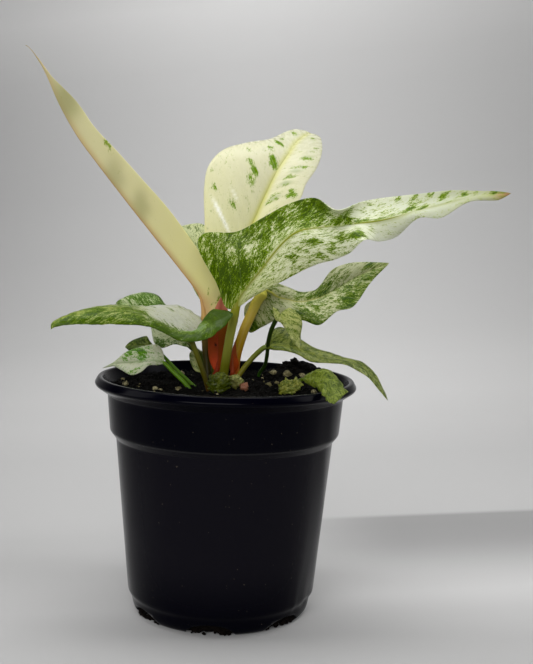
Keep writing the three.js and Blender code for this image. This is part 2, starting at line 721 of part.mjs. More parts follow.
// The drain notches: seven blocks round the foot, joined into one cutter
function notches() {
  let cutter = null;
  for (let i = 0; i < NOTCH_COUNT; i += 1) {
    const angle = THREE.MathUtils.degToRad(NOTCH_FIRST_ANGLE + i * 360 / NOTCH_COUNT);
    const middle = FOOT_RADIUS + 3 - NOTCH_DEPTH / 2;
    const block = new THREE.BoxGeometry(NOTCH_WIDTH, NOTCH_DEPTH, 2 * NOTCH_HEIGHT);
    block.translate(0, -middle, 0);
    block.rotateZ(angle);
    const solid = toSolid(block);
    cutter = cutter ? cutter.add(solid) : solid;
  }
  return cutter;
}

function mound(place, x, y) {
  const reach = ((x - place.x) ** 2 + (y - place.y) ** 2) / place.spread ** 2;
  return place.height * Math.exp(-reach);
}

// Height of the soil's surface: low lumps over the two mounds
function soilHeight(x, y) {
  const lumps = Math.sin(x * 0.55 + 1.3) * Math.cos(y * 0.62 - 0.4) + 0.6 * Math.sin(x * 1.1 - y * 0.9);
  return SOIL_LEVEL + mound(CROWN_MOUND, x, y) + mound(REAR_MOUND, x, y) + SOIL_LUMP_HEIGHT * lumps;
}

// The soil as a turned plug with a bumpy top, its grains fused in and a hole for each stalk
function soilGeometry() {
  const wall = POT_INSIDE.slice(0, -2).map(([r, z]) => [r - SOIL_CLEARANCE, z]);
  wall[0][1] += SOIL_CLEARANCE;
  const topRadius = wall.at(-1)[0];
  const top = [];
  for (let i = 0; i <= SOIL_RINGS; i += 1) {
    top.push([topRadius * (1 - i / SOIL_RINGS), SOIL_LEVEL]);
  }
  const plug = turned([[0, wall[0][1]], ...wall, ...top], SEGMENTS);
  const position = plug.getAttribute("position");
  for (let i = 0; i < position.count; i += 1) {
    if (position.getZ(i) > SOIL_LEVEL - 0.01) {
      position.setZ(i, soilHeight(position.getX(i), position.getY(i)));
    }
  }
  let soil = toSolid(plug);
  for (const [x, y, radius] of GRAINS) {
    soil = soil.add(grain(x, y, radius));
  }
  for (const leaf of LEAVES) {
    soil = soil.subtract(stalkHole(leaf));
  }
  return toGeometry(largestPiece(soil));
}

// The main body of a solid, without the crumbs that a cut may leave
function largestPiece(solid) {
  const pieces = solid.decompose();
  return pieces.reduce((best, piece) => (piece.volume() > best.volume() ? piece : best));
}

// One grain: a squashed twenty-sided lump, sunk by half into the soil
function grain(x, y, radius) {
  const lump = new THREE.IcosahedronGeometry(radius, 0);
  lump.scale(1.15, 0.95, 0.8);
  lump.rotateZ(x * 1.7 + y);
  lump.translate(x, y, soilHeight(x, y) + radius * 0.2);
  return toSolid(lump);
}

// A plain round or oval hole round the buried stretch of a stalk
function stalkHole(leaf) {
  const bottom = buriedEnd(leaf);
  const start = vec(leaf.stalk[0]);
  const along = start.clone().sub(bottom).normalize();
  const top = start.clone().addScaledVector(along, HOLE_ABOVE);
  const across = vec(leaf.rows[0][2]).sub(vec(leaf.rows[0][0]));
  const side = across.addScaledVector(along, -across.dot(along)).normalize();
  const up = side.clone().cross(along);
  const [widthRadius] = leaf.stalkRadii;
  const length = top.distanceTo(bottom) + HOLE_CLEARANCE;
  const hole = new THREE.CylinderGeometry(1, 1, length, HOLE_SIDES);
  const thick = leaf.flatStalk ?? widthRadius;
  hole.scale(widthRadius + HOLE_CLEARANCE, 1, thick + HOLE_CLEARANCE);
  hole.translate(0, length / 2 - HOLE_CLEARANCE, 0);
  hole.applyMatrix4(new THREE.Matrix4().makeBasis(side, along, up).setPosition(bottom));
  return toSolid(hole);
}

function part(name, geometry, color, roughness) {
  const material = new THREE.MeshStandardMaterial({ color, roughness, metalness: 0 });
  const mesh = new THREE.Mesh(geometry, material);
  mesh.name = name;
  return mesh;
}

const plant = new THREE.Group();
plant.add(part("pot", potGeometry(), 0x0c0c0f, 0.35));
plant.add(part("soil", soilGeometry(), 0x120e0b, 0.95));
for (const leaf of LEAVES) {
  plant.add(part(leaf.name, leafGeometry(leaf), leaf.color, 0.45));
}

export default plant;
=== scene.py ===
"""A young variegated anthurium in a black nursery pot: the looks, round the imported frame."""
import math
import random

import bmesh
import bpy
import numpy as np
from mathutils import Matrix, Vector, noise


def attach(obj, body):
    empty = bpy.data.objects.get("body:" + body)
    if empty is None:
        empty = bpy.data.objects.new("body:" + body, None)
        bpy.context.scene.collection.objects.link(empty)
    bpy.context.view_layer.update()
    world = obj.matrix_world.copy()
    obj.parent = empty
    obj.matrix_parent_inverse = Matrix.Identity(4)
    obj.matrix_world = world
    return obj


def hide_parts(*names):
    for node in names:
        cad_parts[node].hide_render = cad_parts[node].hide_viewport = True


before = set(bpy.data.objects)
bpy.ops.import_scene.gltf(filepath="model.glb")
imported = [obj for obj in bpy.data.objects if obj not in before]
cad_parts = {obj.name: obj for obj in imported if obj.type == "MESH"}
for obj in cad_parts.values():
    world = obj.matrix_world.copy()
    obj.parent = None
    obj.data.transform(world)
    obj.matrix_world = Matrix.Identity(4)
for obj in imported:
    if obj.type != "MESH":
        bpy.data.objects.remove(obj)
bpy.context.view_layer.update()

# Lengths are written in millimetres and turned into metres by this
MM = 0.001

# Camera, fitted to the photograph: its place, and its turns in radians
CAMERA_PLACE = (0, -450, 164.2)
CAMERA_YAW = 0.036
CAMERA_PITCH = 0.103
CAMERA_ROLL = 0.031

# Its focal length and the height of the photograph in pixels, and the height of its sensor
FOCAL_PIXELS = 1086
PICTURE_HEIGHT = 664
SENSOR = 36

# Soft lights: name, place, target, width and height, power in watts
LIGHTS = [
    ("front", (-200, -950, 420), (0, 0, 130), (900, 400), 8.2),
    ("overhead", (0, -20, 800), (0, -20, 0), (900, 260), 5.4),
    ("left_box", (-650, -50, 350), (0, 0, 100), (300, 600), 1),
    ("right_box", (650, -50, 350), (0, 0, 100), (300, 600), 1.3),
    ("wall_wash", (0, 350, 750), (0, 1000, 250), (1800, 200), 6.2),
]
ROOM_LIGHT = 0.03

# Paper under and behind the pot: its near edge, half its width, the distance and top of its wall, and
# the radius and steps of the bend between floor and wall
PAPER_NEAR = -3000
PAPER_HALF_WIDTH = 2500
WALL_DISTANCE = 1100
WALL_TOP = 2000
BEND_RADIUS = 650
BEND_STEPS = 48

# How far the table's edge runs back for each step to the right
PAPER_TURN = 0.219

# Painted light and shade on the paper, brighter and darker as the light falls on it: how far behind the pot
# plus how high, both in metres, and how pale the painted tone is there
PAINTED_PAPER_SHADING = [
    (-0.06, 0.41), (-0.025, 0.46), (0, 0.53), (0.028, 0.5), (0.072, 0.43), (0.106, 0.42), (0.12, 0.43),
    (0.14, 0.44), (0.19, 0.45), (0.29, 0.465), (0.4, 0.52), (0.523, 0.555), (0.624, 0.54),
    (0.715, 0.505), (0.802, 0.49), (0.886, 0.48), (0.967, 0.475), (1.047, 0.475), (1.124, 0.47),
    (1.199, 0.475), (1.271, 0.485), (1.341, 0.5), (1.406, 0.53), (1.471, 0.59), (1.531, 0.66),
]
PAPER_TINT = (1, 0.995, 0.99)

# A painted shadow along the table's edge at the right, a duller line: where it starts and ends behind the
# pot and how far to the right it sets in, in metres, and the share of the tone that is left
TABLE_SHADOW_BEHIND = (-0.01, 0.09, 0.122, 0.131)
TABLE_SHADOW_ACROSS = (0.02, 0.1)
TABLE_SHADOW_TONE = 0.66

# Painted shade toward the paper's sides: where each is dullest, in metres to the right, and the share of
# the tone there
PAPER_MIDDLE = 0.05
PAPER_SIDE_SHADE = [(-0.45, 0.57), (0.5, 0.78)]

# Pot: the top of its rim, its wall, and radius and height at the foot and the top of its tapering body
RIM_TOP = 98.5
WALL = 1.3
BODY_FOOT = (39.35, 10)
BODY_TOP = (45.15, 72)
POT_SIDES = 288

# Drain notches round the foot: the radii between which they cut, and the angle of the first in degrees
NOTCH_COUNT = 7
NOTCH_HALF_WIDTH = 10
NOTCH_HEIGHT = 5
NOTCH_FROM = 31
NOTCH_TO = 41
NOTCH_FIRST_ANGLE = -6
NOTCH_SIDES = 24

# The dent low on the pot: its angle to the right of the front in degrees, its height, and the least
# radius of the skin that is pushed in
DENT_ANGLE = 52
DENT_HEIGHT = 17
DENT_LEAST_RADIUS = 35.3

# Where the body is painted paler than the band and the foot, as painted light, and the painted highlight
# line on the step, as heights in metres
PAINTED_LIGHT_HEIGHTS = (0.006, 0.032, 0.0748, 0.0756)
STEP_HIGHLIGHT_HEIGHTS = (0.0751, 0.0754, 0.0758, 0.0761)

# Soil: its level, its radius at the top, the height of its slow lumps, the rings of its mesh, and the
# radius and height of its side from the top down
SOIL_LEVEL = 94.2
SOIL_RADIUS = 47.4
SOIL_LUMP_HEIGHT = 0.5
SOIL_RINGS = 96
SOIL_SIDE = [(47.2, 91), (45.9, 78), (43.4, 73.8), (40.4, 40), (37.6, 9), (35.6, 3.7), (34.3, 1.9)]

# Its mounds: x, y, height and spread
CROWN_MOUND = (1, 6, 2, 16)
REAR_MOUND = (31, 28, 7, 13)

# What lies on the soil and in the notches: random seeds, counts, and the mesh of a fibre
CRUMB_SEED = 7
FIBRE_SEED = 8
GRAIN_SEED = 9
SPILL_SEED = 10
CRUMB_COUNT = 1500
FIBRE_COUNT = 150
SPILL_COUNT = 60
FIBRE_SIDES = 5
FIBRE_STEPS = 6

# Pale grains of perlite in the soil, placed as the photograph shows them: x, y, radius
GRAINS = [
    (-41.5, -4.7, 1.3), (-36, -6.3, 0.8), (-28.5, -16, 1.1), (-26.3, -15.8, 1), (-19.2, -13.2, 1.2),
    (-9.5, -21, 0.8), (-20, 30, 1.3), (20.8, 21, 1.7), (26.5, 16.1, 1.9), (32.8, 16, 1.4),
    (17.9, 2.7, 1.5), (21.6, 8.2, 1), (15.6, 14.7, 0.9), (23.3, -12.1, 1.5), (11.4, 9, 0.7),
    (-4.3, -21.7, 0.7), (-34, -30, 1.2), (-6, 38, 1.3), (2, -36, 1.1), (-16, -38, 1), (36, -12, 1.2),
    (-44, 10, 0.9), (42, 6, 1.2),
]

# Leaves: thickness of a blade at its midrib and at its margin, and how far a stalk goes into the soil
BLADE_THICKNESS = 0.62
MARGIN_THICKNESS = 0.3
ROOT_DEPTH = 3

# Stalks: sides, stations between two guide points, rounds of smoothing of their turn into the blade,
# how far the midrib stands out under it, its least radius, and the depth of the channel on top
STALK_SIDES = 24
STALK_STEPS = 12
ACROSS_ROUNDS = 12
RIB_PROUD = 0.12
RIB_LEAST_RADIUS = 0.12
CHANNEL_DEPTH = 0.1

# Mesh density of a leaf: stations between two rows, and columns on each half of the blade, which are
# crowded toward the midrib by this power
LARGE = (14, 26)
MEDIUM = (10, 18)
SMALL = (10, 12)
COLUMN_CROWDING = 1.5

# For distances on a blade, half its width counts as this many rows
HALF_BLADE_ROWS = 2.5

# What all leaves share: green before the noise on a stalk, the colour of the paler underside, and how
# much green the midrib and the underside lose
STALK_COVER = -1
UNDERSIDE = "d5d8b4"
RIB_CLEARS = 0.6
UNDERSIDE_CLEARS = 0.1

# Each leaf is its stalk, from the soil up, the base and tip of its blade, and the rows between them. A
# row holds the left margin, the midrib and the right margin. Places on a blade are (t, u): t counts the
# rows from the base, and u runs from -1 at the left margin over 0 at the midrib to 1 at the right one.
#   size                       the mesh density of its blade
#   stalk_radii, camber        the stalk's radius at the soil and at the blade, and the rise of each half
#   crinkle                    depth of the creases
#   rib_shrink, rib_least      how fast the midrib thins, and the share of its radius that stays
#   flat_stalk                 half the thickness of a stalk that is flat
#   pale, stalk_pale           tissue from base to tip, and stalk from soil to blade (1) to tip (2)
#   rib, rib_width             colour of the midrib, and how wide it shows
#   rib_strength, rib_flare    how strong that colour is, and how much wider at the base
#   green, deep                the two depths of green
#   veil_green, veil           the haze round the green, and how strong it is
#   cover                      share of green before the noise, changed by zones and spots
#   contrast, scale, stretch   how sharp and fine the flecks are, and how drawn out along the veins
#   sweep, seed                how far the side veins lean toward the tip, and the place in the noise
#   vein_spacing, vein_line    distance of the side veins, and how pale they show
#   quilt                      height of the fields between the side veins
#   rough, shine, glow         roughness, gloss, and light that passes under the skin
#   under                      how pale the underside is
#   zones                      (amount, softness, outline in t and u)
#   spots                      (t, u, reach along the side veins, reach across them, amount)
#   tints                      (colour, spots) laid over the pale tissue
# What a leaf leaves out is as in this plain one
PLAIN_LEAF = dict(
    crinkle=0, rib_shrink=4.5, rib_least=0.24, flat_stalk=99, rib_width=0.9, rib_strength=0.8,
    rib_flare=0.5, veil=0.3, contrast=6.5, scale=1, stretch=1, sweep=0.9, vein_spacing=5, vein_line=0.16,
    quilt=0.12, rough=0.3, shine=0.12, glow=0.1, under=0.12, zones=[], spots=[], tints=[],
)
LEAVES = {}

# The newest leaf, a cream spear still folded along its midrib
LEAVES["leaf_cream_spear"] = dict(
    size=LARGE, stalk_radii=(1.5, 1.7), camber=(0, 0), rib_shrink=16,
    stalk=[(-7.5, 7, 95.5), (-8.9, 8, 107.5), (-9.5, 8, 114.5)],
    base=(-10, 8, 121), tip=(-86, 8, 232.3),
    rows=[
        ((-1.6, 9, 129.3), (-10.7, 8, 126.8), (-6.5, 12, 129.5)),
        ((-4, 4.5, 137), (-12.8, 8, 132.8), (-8, 13, 136)),
        ((-12.5, 0, 150), (-20.5, 8, 142.5), (-15, 16.5, 147.5)),
        ((-24.5, -1.5, 166), (-33, 8, 157.5), (-28, 17.5, 163.5)),
        ((-36, -1.5, 178.5), (-45, 8, 172), (-40, 17.5, 177)),
        ((-47, 0.5, 190), (-55.5, 8, 185), (-50.5, 15.5, 189.5)),
        ((-56.5, 2.5, 199.5), (-64, 8, 196), (-59.5, 13.5, 199.5)),
        ((-64.5, 4, 210), (-71.5, 8, 208.5), (-67.5, 12, 210)),
        ((-76, 6.5, 221), (-77.3, 8, 221), (-76.3, 9.5, 221.3)),
        ((-81.5, 7.7, 228.1), (-81.8, 8, 228.3), (-81.6, 8.3, 228.3)),
        ((-84.6, 7.8, 231.4), (-84.7, 8, 231.6), (-84.6, 8.2, 231.5)),
    ],
    pale=[(0, "cfc684"), (0.2, "d6ce88"), (0.45, "d0c997"), (0.75, "bab486"), (1, "9c9566")],
    stalk_pale=[
        (0, "1c1a04"), (0.3, "302c06"), (0.5, "6a5524"), (0.75, "94743c"), (1, "bf9a54"),
        (1.08, "b8905a"), (1.3, "b08a52"), (2, "9a8a52"),
    ],
    rib="b0884e", rib_width=2.2, rib_strength=0.9, green="7d9224", deep="6d8410", veil_green="a3a060",
    cover=-0.45, seed=3, vein_spacing=6, vein_line=0.06, quilt=0.05,
    spots=[
        (6.2, -0.88, 3.2, 1.3, 1.3), (6.42, -0.92, 2, 1.6, 1.3), (6, -0.85, 2.5, 0.9, 0.8),
        (1.3, -0.75, 4, 1, 1.3), (1.9, -0.5, 4, 0.8, 0.9), (1, -0.4, 2, 0.8, 0.9), (8.1, -0.6, 6, 6, 0.4),
        (5.4, -0.4, 5, 4, 0.25), (7.3, -0.8, 3, 2, 0.35),
    ],
    tints=[
        ("84804a", [(8.1, -0.4, 12, 8, 0.75), (5.5, -0.2, 9, 6, 0.5), (4.6, -0.3, 8, 5, 0.55)]),
        ("b9844c", [(0.9, 0, 5, 5, 0.5)]),
    ],
)

# The tall white leaf at the back, arching away at its tip
LEAVES["leaf_white_back"] = dict(
    size=LARGE, stalk_radii=(1.8, 1.5), camber=(2, 1.5),
    stalk=[(-1.5, 12, 96), (0.1, 12.5, 108), (1.8, 13, 116.5), (3.2, 13, 124)],
    base=(3.2, 13, 130.5), tip=(38.5, 62, 203),
    rows=[
        ((-5, 10.5, 135), (3, 14, 137), (8, 13, 136.5)),
        ((-10, 11, 153.5), (4.5, 15, 146), (11.5, 13, 145.5)),
        ((-11, 12, 165.5), (7, 17, 156), (16, 14, 155)),
        ((-11.5, 14.5, 176.5), (11, 19, 166), (23, 16, 164)),
        ((-10, 18, 186), (15, 22, 175.5), (29.5, 19, 173.5)),
        ((-4, 24, 193.5), (19.5, 26, 185), (32, 23, 180)),
        ((6.5, 32, 197.5), (24.5, 32, 193), (37, 30, 187.5)),
        ((16.5, 41, 200), (28.5, 41, 199), (40, 41, 195.5)),
        ((28, 52, 205.5), (34.5, 51, 203.5), (40, 52, 202)),
    ],
    pale=[(0, "d0cc90"), (0.3, "d0cea0"), (0.6, "c6c4a4"), (1, "b4b59e")],
    stalk_pale=[(0, "8f7a32"), (0.5, "98903c"), (1, "b6b152"), (1.5, "bfbc4c"), (2, "c3c378")],
    rib="b6b63c", rib_width=1.5, rib_strength=0.85, green="769318", deep="507010", veil_green="939f68",
    veil=0.6, cover=-0.3, seed=11, vein_spacing=6.5, quilt=0.16, rough=0.2,
    spots=[
        (6.39, -0.7, 1.6, 1.1, 1.2), (5.89, -0.5, 2, 1.4, 1.2), (5.64, -0.35, 2.2, 1.4, 1.2),
        (5.49, -0.3, 2.2, 1.3, 1.2), (5.14, -0.3, 3, 1.8, 1.3), (4.24, -0.85, 2.2, 1.4, 1.2),
        (3.94, -0.5, 2.6, 1.9, 0.9), (6.84, -0.4, 1.9, 1.6, 1.2), (6.49, -0.25, 2.3, 1.6, 1.2),
        (6.19, -0.1, 3.2, 2.4, 1.4), (7.44, -0.45, 2.2, 1.6, 1.2), (7.34, -0.3, 2.2, 1.3, 1),
        (7.88, -0.5, 1.8, 1.3, 1.2), (8.48, -0.5, 2.6, 1.6, 1.2), (8.53, 0.55, 2, 1.4, 0.9),
        (4.6, 0.25, 4.2, 1.1, 0.8), (4.94, 0.33, 4.2, 1.1, 0.9), (5.44, 0.4, 4.2, 1.1, 0.8),
        (5.94, 0.5, 4.2, 1.2, 0.9), (6.54, 0.56, 4.2, 1.3, 0.9), (7.04, 0.6, 3.6, 1.6, 1.1),
        (7.6, 0.68, 2.2, 1, 0.6), (8.43, 0.4, 2, 0.9, 0.5), (7.93, 0.8, 2, 1, 0.7),
        (5.3, 0.7, 2, 0.8, 0.6), (6.3, 0.25, 2.4, 0.7, 0.4), (5.09, 0.75, 3, 2, 1.3),
        (3.6, 0.12, 2, 2, 0.6),
    ],
    tints=[
        # A painted highlight: glossy white streaks on the left half
        ("f4f4ea", [(3.4, -0.72, 5, 1, 1), (3, -0.55, 4, 0.9, 0.8), (4.3, -0.5, 3, 0.6, 0.6)]),
        ("8c9c72", [
            (7.2, 0.62, 3, 1.2, 0.5), (6.3, 0.55, 3, 1.2, 0.6), (5.6, 0.45, 3, 1.2, 0.6),
            (4.8, 0.3, 3, 1.2, 0.6),
        ]),
    ],
)

# The largest leaf, reaching forward to the right, its margin in deep waves
LEAVES["leaf_large_front"] = dict(
    size=LARGE, stalk_radii=(1.9, 1.8), camber=(-2, 1.5), rib_shrink=3.4,
    stalk=[(-1.5, -2, 97), (-0.5, -3.5, 105), (1, -6, 116)],
    base=(3, -8, 127.5), tip=(101.5, -56, 176.5),
    rows=[
        ((-1.2, -11.5, 128.8), (3.6, -8.6, 129.6), (5.6, -10, 129.6)),
        ((-5, -15, 138.5), (4.5, -9.5, 132), (9, -12, 132.5)),
        ((-12.5, -17, 152), (8, -12, 137.5), (15, -17, 136.5)),
        ((-10, -15, 158), (12.5, -16, 143.5), (21.5, -22, 140.5)),
        ((2.5, -14, 159), (16.5, -20, 149.5), (28.5, -28, 145)),
        ((13, -17, 165), (21.5, -25, 156), (34, -34, 148)),
        ((22.5, -22, 170.5), (26.5, -30, 160), (39.5, -40, 150)),
        ((32, -31, 173), (34, -34, 161.5), (44.5, -47, 153)),
        ((39, -47, 168.5), (42.5, -38, 162.5), (49, -54, 158)),
        ((49.5, -36, 172), (50, -41, 164), (56, -43, 157.5)),
        ((59.5, -36, 174), (57.5, -44, 165.5), (62.5, -42, 159.5)),
        ((70.5, -42, 175.5), (68, -47, 168.5), (69, -50, 166.5)),
        ((81, -47, 177), (79, -50, 172), (77, -53, 167)),
        ((90.5, -51, 177), (88.5, -53, 174.5), (86.5, -55, 173)),
        ((96.5, -54.5, 177), (96.5, -55, 175.5), (97, -55.5, 174)),
    ],
    pale=[
        (0, "bcc07c"), (0.3, "cdd1ac"), (0.6, "ced2ba"), (0.8, "b0b59c"), (0.96, "9c9f78"), (1, "a58c70"),
    ],
    stalk_pale=[
        (0, "4a4a08"), (0.3, "54560a"), (0.7, "8a8c3a"), (1, "7c7e1c"), (1.4, "7c841e"), (1.8, "7c8436"),
        (2, "8f7450"),
    ],
    rib="7c8216", rib_width=1.1, rib_strength=0.95, rib_flare=1.6, green="6c8800", deep="344a00",
    veil_green="8f9c2c", veil=0.5, cover=0.4, scale=0.85, stretch=0.55, sweep=1.2, seed=17,
    vein_spacing=7, vein_line=0.06, quilt=0.18,
    zones=[
        (0.42, 0.25, [
            (0.2, -1.1), (0.2, 0), (9.9, 0), (9.4, -0.3), (8.9, -0.55), (8.5, -0.8), (8.2, -1.1),
        ]),
        (-0.5, 0.5, [(9.3, 1.1), (9, 0.1), (11, 0), (9.6, -0.5), (9, -1.1), (15, -1.1), (15, 1.1)]),
        (0.12, 0.4, [(13.2, -1.1), (13.2, 0), (15.8, 0), (15.8, -1.1)]),
        (-0.1, 0.4, [(0.2, 0.05), (9, 0.05), (9.3, 1.1), (0.2, 1.1)]),
    ],
    spots=[
        (9.53, -0.75, 3, 2, 0.8), (10.05, -0.7, 1.6, 1.2, 0.7), (11.33, -0.95, 2, 1.4, 0.7),
        (11.85, -0.9, 3.2, 1.6, 0.85), (11.78, -0.45, 4, 2, 0.95), (11.18, -0.25, 4, 2.5, 0.45),
        (11.63, -0.15, 4, 2.5, 0.4), (12.15, -0.1, 2.5, 1.6, 0.8), (12.3, -0.25, 2, 1.5, 0.9),
        (12.38, -0.9, 3.2, 1.2, 0.8), (12.75, -0.65, 4.5, 1.8, 0.9), (13.5, -0.8, 4, 1.3, 0.8),
        (13.05, -0.05, 2.5, 1.4, 0.7), (14.78, -0.3, 3.5, 1.4, 0.8), (10, -0.08, 3, 2, 0.4),
        (10.7, -0.08, 3, 2, 0.4), (10.6, -0.5, 9, 7, 0.22), (9, 0.8, 3.5, 2.6, 1), (8.4, 0.6, 4, 2, 0.6),
        (7.73, 0.7, 2, 1.6, 0.6), (9.23, 0.55, 1.6, 1.4, 0.6), (9.98, 0.45, 2, 1.4, 0.7),
        (7.2, 0.4, 4, 1.8, 0.65), (6.75, 0.8, 3.5, 1.6, 0.65), (5.63, 0.45, 3.5, 1.6, 0.6),
        (4.8, -0.5, 4, 2.6, -0.4), (3.75, -0.45, 5, 2, -0.4), (5.48, -0.15, 5, 4, -0.3),
        (6.6, -0.45, 7, 6, -0.3), (8.48, -0.5, 7, 3, -0.35), (4.2, -0.7, 3, 2, -0.3),
        (2.6, -0.5, 9, 7, 0.4), (3.6, -0.2, 5, 4, 0.3), (7.43, -0.95, 3, 9, 0.35),
        (8.18, -0.85, 4, 5, 0.3), (6.4, -0.9, 3, 6, 0.3),
    ],
    tints=[("8f6a48", [(15.9, 0, 8, 5, 1)])],
)

# The mottled leaf at the right
LEAVES["leaf_mottled_right"] = dict(
    size=LARGE, stalk_radii=(1.9, 2.3), camber=(1.5, 1.5),
    stalk=[(3.5, 6.5, 96), (4, 7.5, 106), (6.6, 9, 116), (9.7, 10.4, 123.7), (11.8, 11.3, 128.7)],
    base=(14.2, 12, 132), tip=(68, 11, 147.5),
    rows=[
        ((14.5, 15.5, 135.5), (15.5, 13, 133.5), (7.2, 17, 126.5)),
        ((16.5, 16.5, 136.5), (18, 13, 133), (9.3, 18, 115.8)),
        ((20.5, 17.5, 137), (21, 13, 131.5), (15, 16, 118.3)),
        ((25.5, 18, 135.5), (25.5, 13, 130.5), (23, 14, 122.5)),
        ((31.5, 19, 133.5), (30.5, 13, 129.5), (32, 11, 122)),
        ((38.5, 19, 135), (37.5, 14, 131), (39, 9, 120.5)),
        ((44, 19, 143), (44, 14.5, 134), (46, 8, 126.5)),
        ((51, 17, 146.5), (50, 14, 138), (53, 7, 129)),
        ((60, 14, 147.5), (57.5, 13, 142.5), (60, 9, 139)),
    ],
    pale=[(0, "989a5c"), (0.4, "b4b790"), (0.8, "b8bb96"), (1, "a4ab78")],
    stalk_pale=[
        (0, "983a0c"), (0.12, "8c520c"), (0.3, "8a6c0a"), (0.6, "a18e38"), (1, "b0aa44"), (1.1, "a8a642"),
        (2, "8c8e48"),
    ],
    rib="88893a", rib_width=1, rib_strength=0.7, green="647a1c", deep="2a4608", veil_green="808c50",
    veil=0.75, cover=0.5, stretch=0.9, sweep=1.2, seed=23, vein_spacing=6, quilt=0.2,
    zones=[(0.15, 0.4, [(0.5, 0.35), (5, 0.55), (5, 1.1), (0.5, 1.1)])],
    spots=[
        (8.53, -0.65, 5, 4, -0.5), (9.08, -0.75, 4, 2, 0.5), (7.58, -0.9, 3, 3, -0.4),
        (8.18, 0.2, 8, 6, 0.25), (7.88, 0.8, 5, 3, 0.7), (5.44, 0.85, 6, 3, 0.5), (6.2, 0.1, 6, 2, -0.2),
        (3.74, -0.7, 3, 3, -0.3), (7.3, 0.5, 6, 2, -0.25), (9.2, 0.3, 4, 3, 0.3), (6.4, -0.1, 8, 5, 0.3),
        (0.8, 0.85, 4, 6, -0.7), (2.2, 0.5, 6, 5, -0.35), (4.2, 0.3, 6, 4, -0.3), (1.8, 0.98, 2, 5, 0.8),
    ],
)

# The narrow leaf that droops past the rim at the right
LEAVES["leaf_drooping_right"] = dict(
    size=MEDIUM, stalk_radii=(1.1, 1.1), camber=(0.8, 0.8),
    stalk=[(4.2, 1.5, 96.3), (5.2, 1.6, 98.8), (8.2, 2, 103.2), (12, 2, 107.7)],
    base=(15.5, 1, 111), tip=(65, -22, 93.5),
    rows=[
        ((18, 3, 117), (18.5, 0, 112), (19, -2, 110.5)),
        ((22.5, 3.5, 119.5), (23, -1, 112), (23.5, -4, 110.5)),
        ((29.5, 1.5, 115.5), (29.5, -3, 111), (29, -7, 109.5)),
        ((36.5, -0.5, 111.5), (36, -5.5, 109.5), (34.5, -10, 107)),
        ((43, -3, 110), (42.5, -8, 108), (41, -13, 107)),
        ((49, -6, 108), (48.5, -11, 107.5), (47.5, -16, 107)),
        ((55.5, -9, 107), (53.5, -14, 106.5), (52.5, -18, 105)),
        ((60.5, -13, 103), (58.5, -17, 103), (57, -21, 102.5)),
        ((63, -17, 98), (62, -20, 98.5), (61, -22, 98)),
    ],
    pale=[(0, "5a6220"), (1, "7e864e")],
    stalk_pale=[(0, "6a3410"), (0.3, "5c5612"), (1, "4e5c1c"), (2, "667040")],
    rib="60681e", green="3e4e06", deep="1c2a00", veil_green="4a5414", veil=0.35, cover=0.55, contrast=8,
    scale=1.5, seed=29, vein_spacing=4.5, quilt=0.16,
)

# A small leaf hanging from a thin dark stalk
LEAVES["leaf_small_hanging"] = dict(
    size=MEDIUM, stalk_radii=(0.7, 0.95), camber=(0.8, 0.8),
    stalk=[
        (14, 21.5, 95.5), (14.6, 19, 98), (16.4, 12, 102.2), (16.9, 5, 107.3), (17.1, -3, 114.8),
        (18.2, -8, 120.3),
    ],
    base=(20.4, -11.5, 125.3), tip=(29, -17.5, 113),
    rows=[
        ((24.5, -11, 128.7), (21.4, -13, 125.6), (18, -13, 129)),
        ((28, -12, 127), (22, -14, 124), (19, -14.5, 124.5)),
        ((30, -13, 123.5), (24, -15.5, 122), (21.5, -15.5, 123)),
        ((29.5, -14, 118.5), (26, -16.5, 118.5), (24, -17.5, 119.5)),
        ((29.5, -15, 115.5), (27.5, -17, 115.5), (26, -18.5, 116.5)),
    ],
    pale=[(0, "8a8e4c"), (1, "989c68")],
    stalk_pale=[(0, "30600a"), (0.2, "284606"), (0.6, "1c2c06"), (1, "22340a"), (2, "5c6828")],
    rib="7f8a40", green="50620e", deep="2c4002", veil_green="6c7630", veil=0.6, cover=0.45, scale=1.4,
    seed=31, vein_spacing=3.5,
)

# A small leaf lying over the rim at the right front
LEAVES["leaf_over_rim"] = dict(
    size=MEDIUM, stalk_radii=(0.9, 0.8), camber=(0.8, 0.8), crinkle=0.4,
    stalk=[(26.5, -10, 96), (28.5, -12.5, 98.5)],
    base=(30.5, -17, 100.5), tip=(41, -47, 96),
    rows=[
        ((33.5, -19, 103.5), (33, -22, 102), (33, -24, 99.5)),
        ((37.5, -24, 106), (36, -28, 103), (35.5, -33, 99.5)),
        ((41.5, -28, 105.5), (38.5, -34.5, 103), (36.5, -41, 99)),
        ((44, -35, 102.5), (40, -39, 101), (38, -45, 97.5)),
        ((46, -41, 99.5), (41, -43, 98.5), (39, -47, 96.5)),
    ],
    pale=[(0, "6a7624"), (1, "76823a")],
    stalk_pale=[(0, "5c5218"), (1, "4a5c14"), (2, "5a6a24")],
    rib="62702c", green="3e5004", deep="203000", veil_green="4a5a10", cover=0.55, contrast=8, scale=2,
    seed=37, vein_spacing=2.6, vein_line=0.3, quilt=0.25,
)

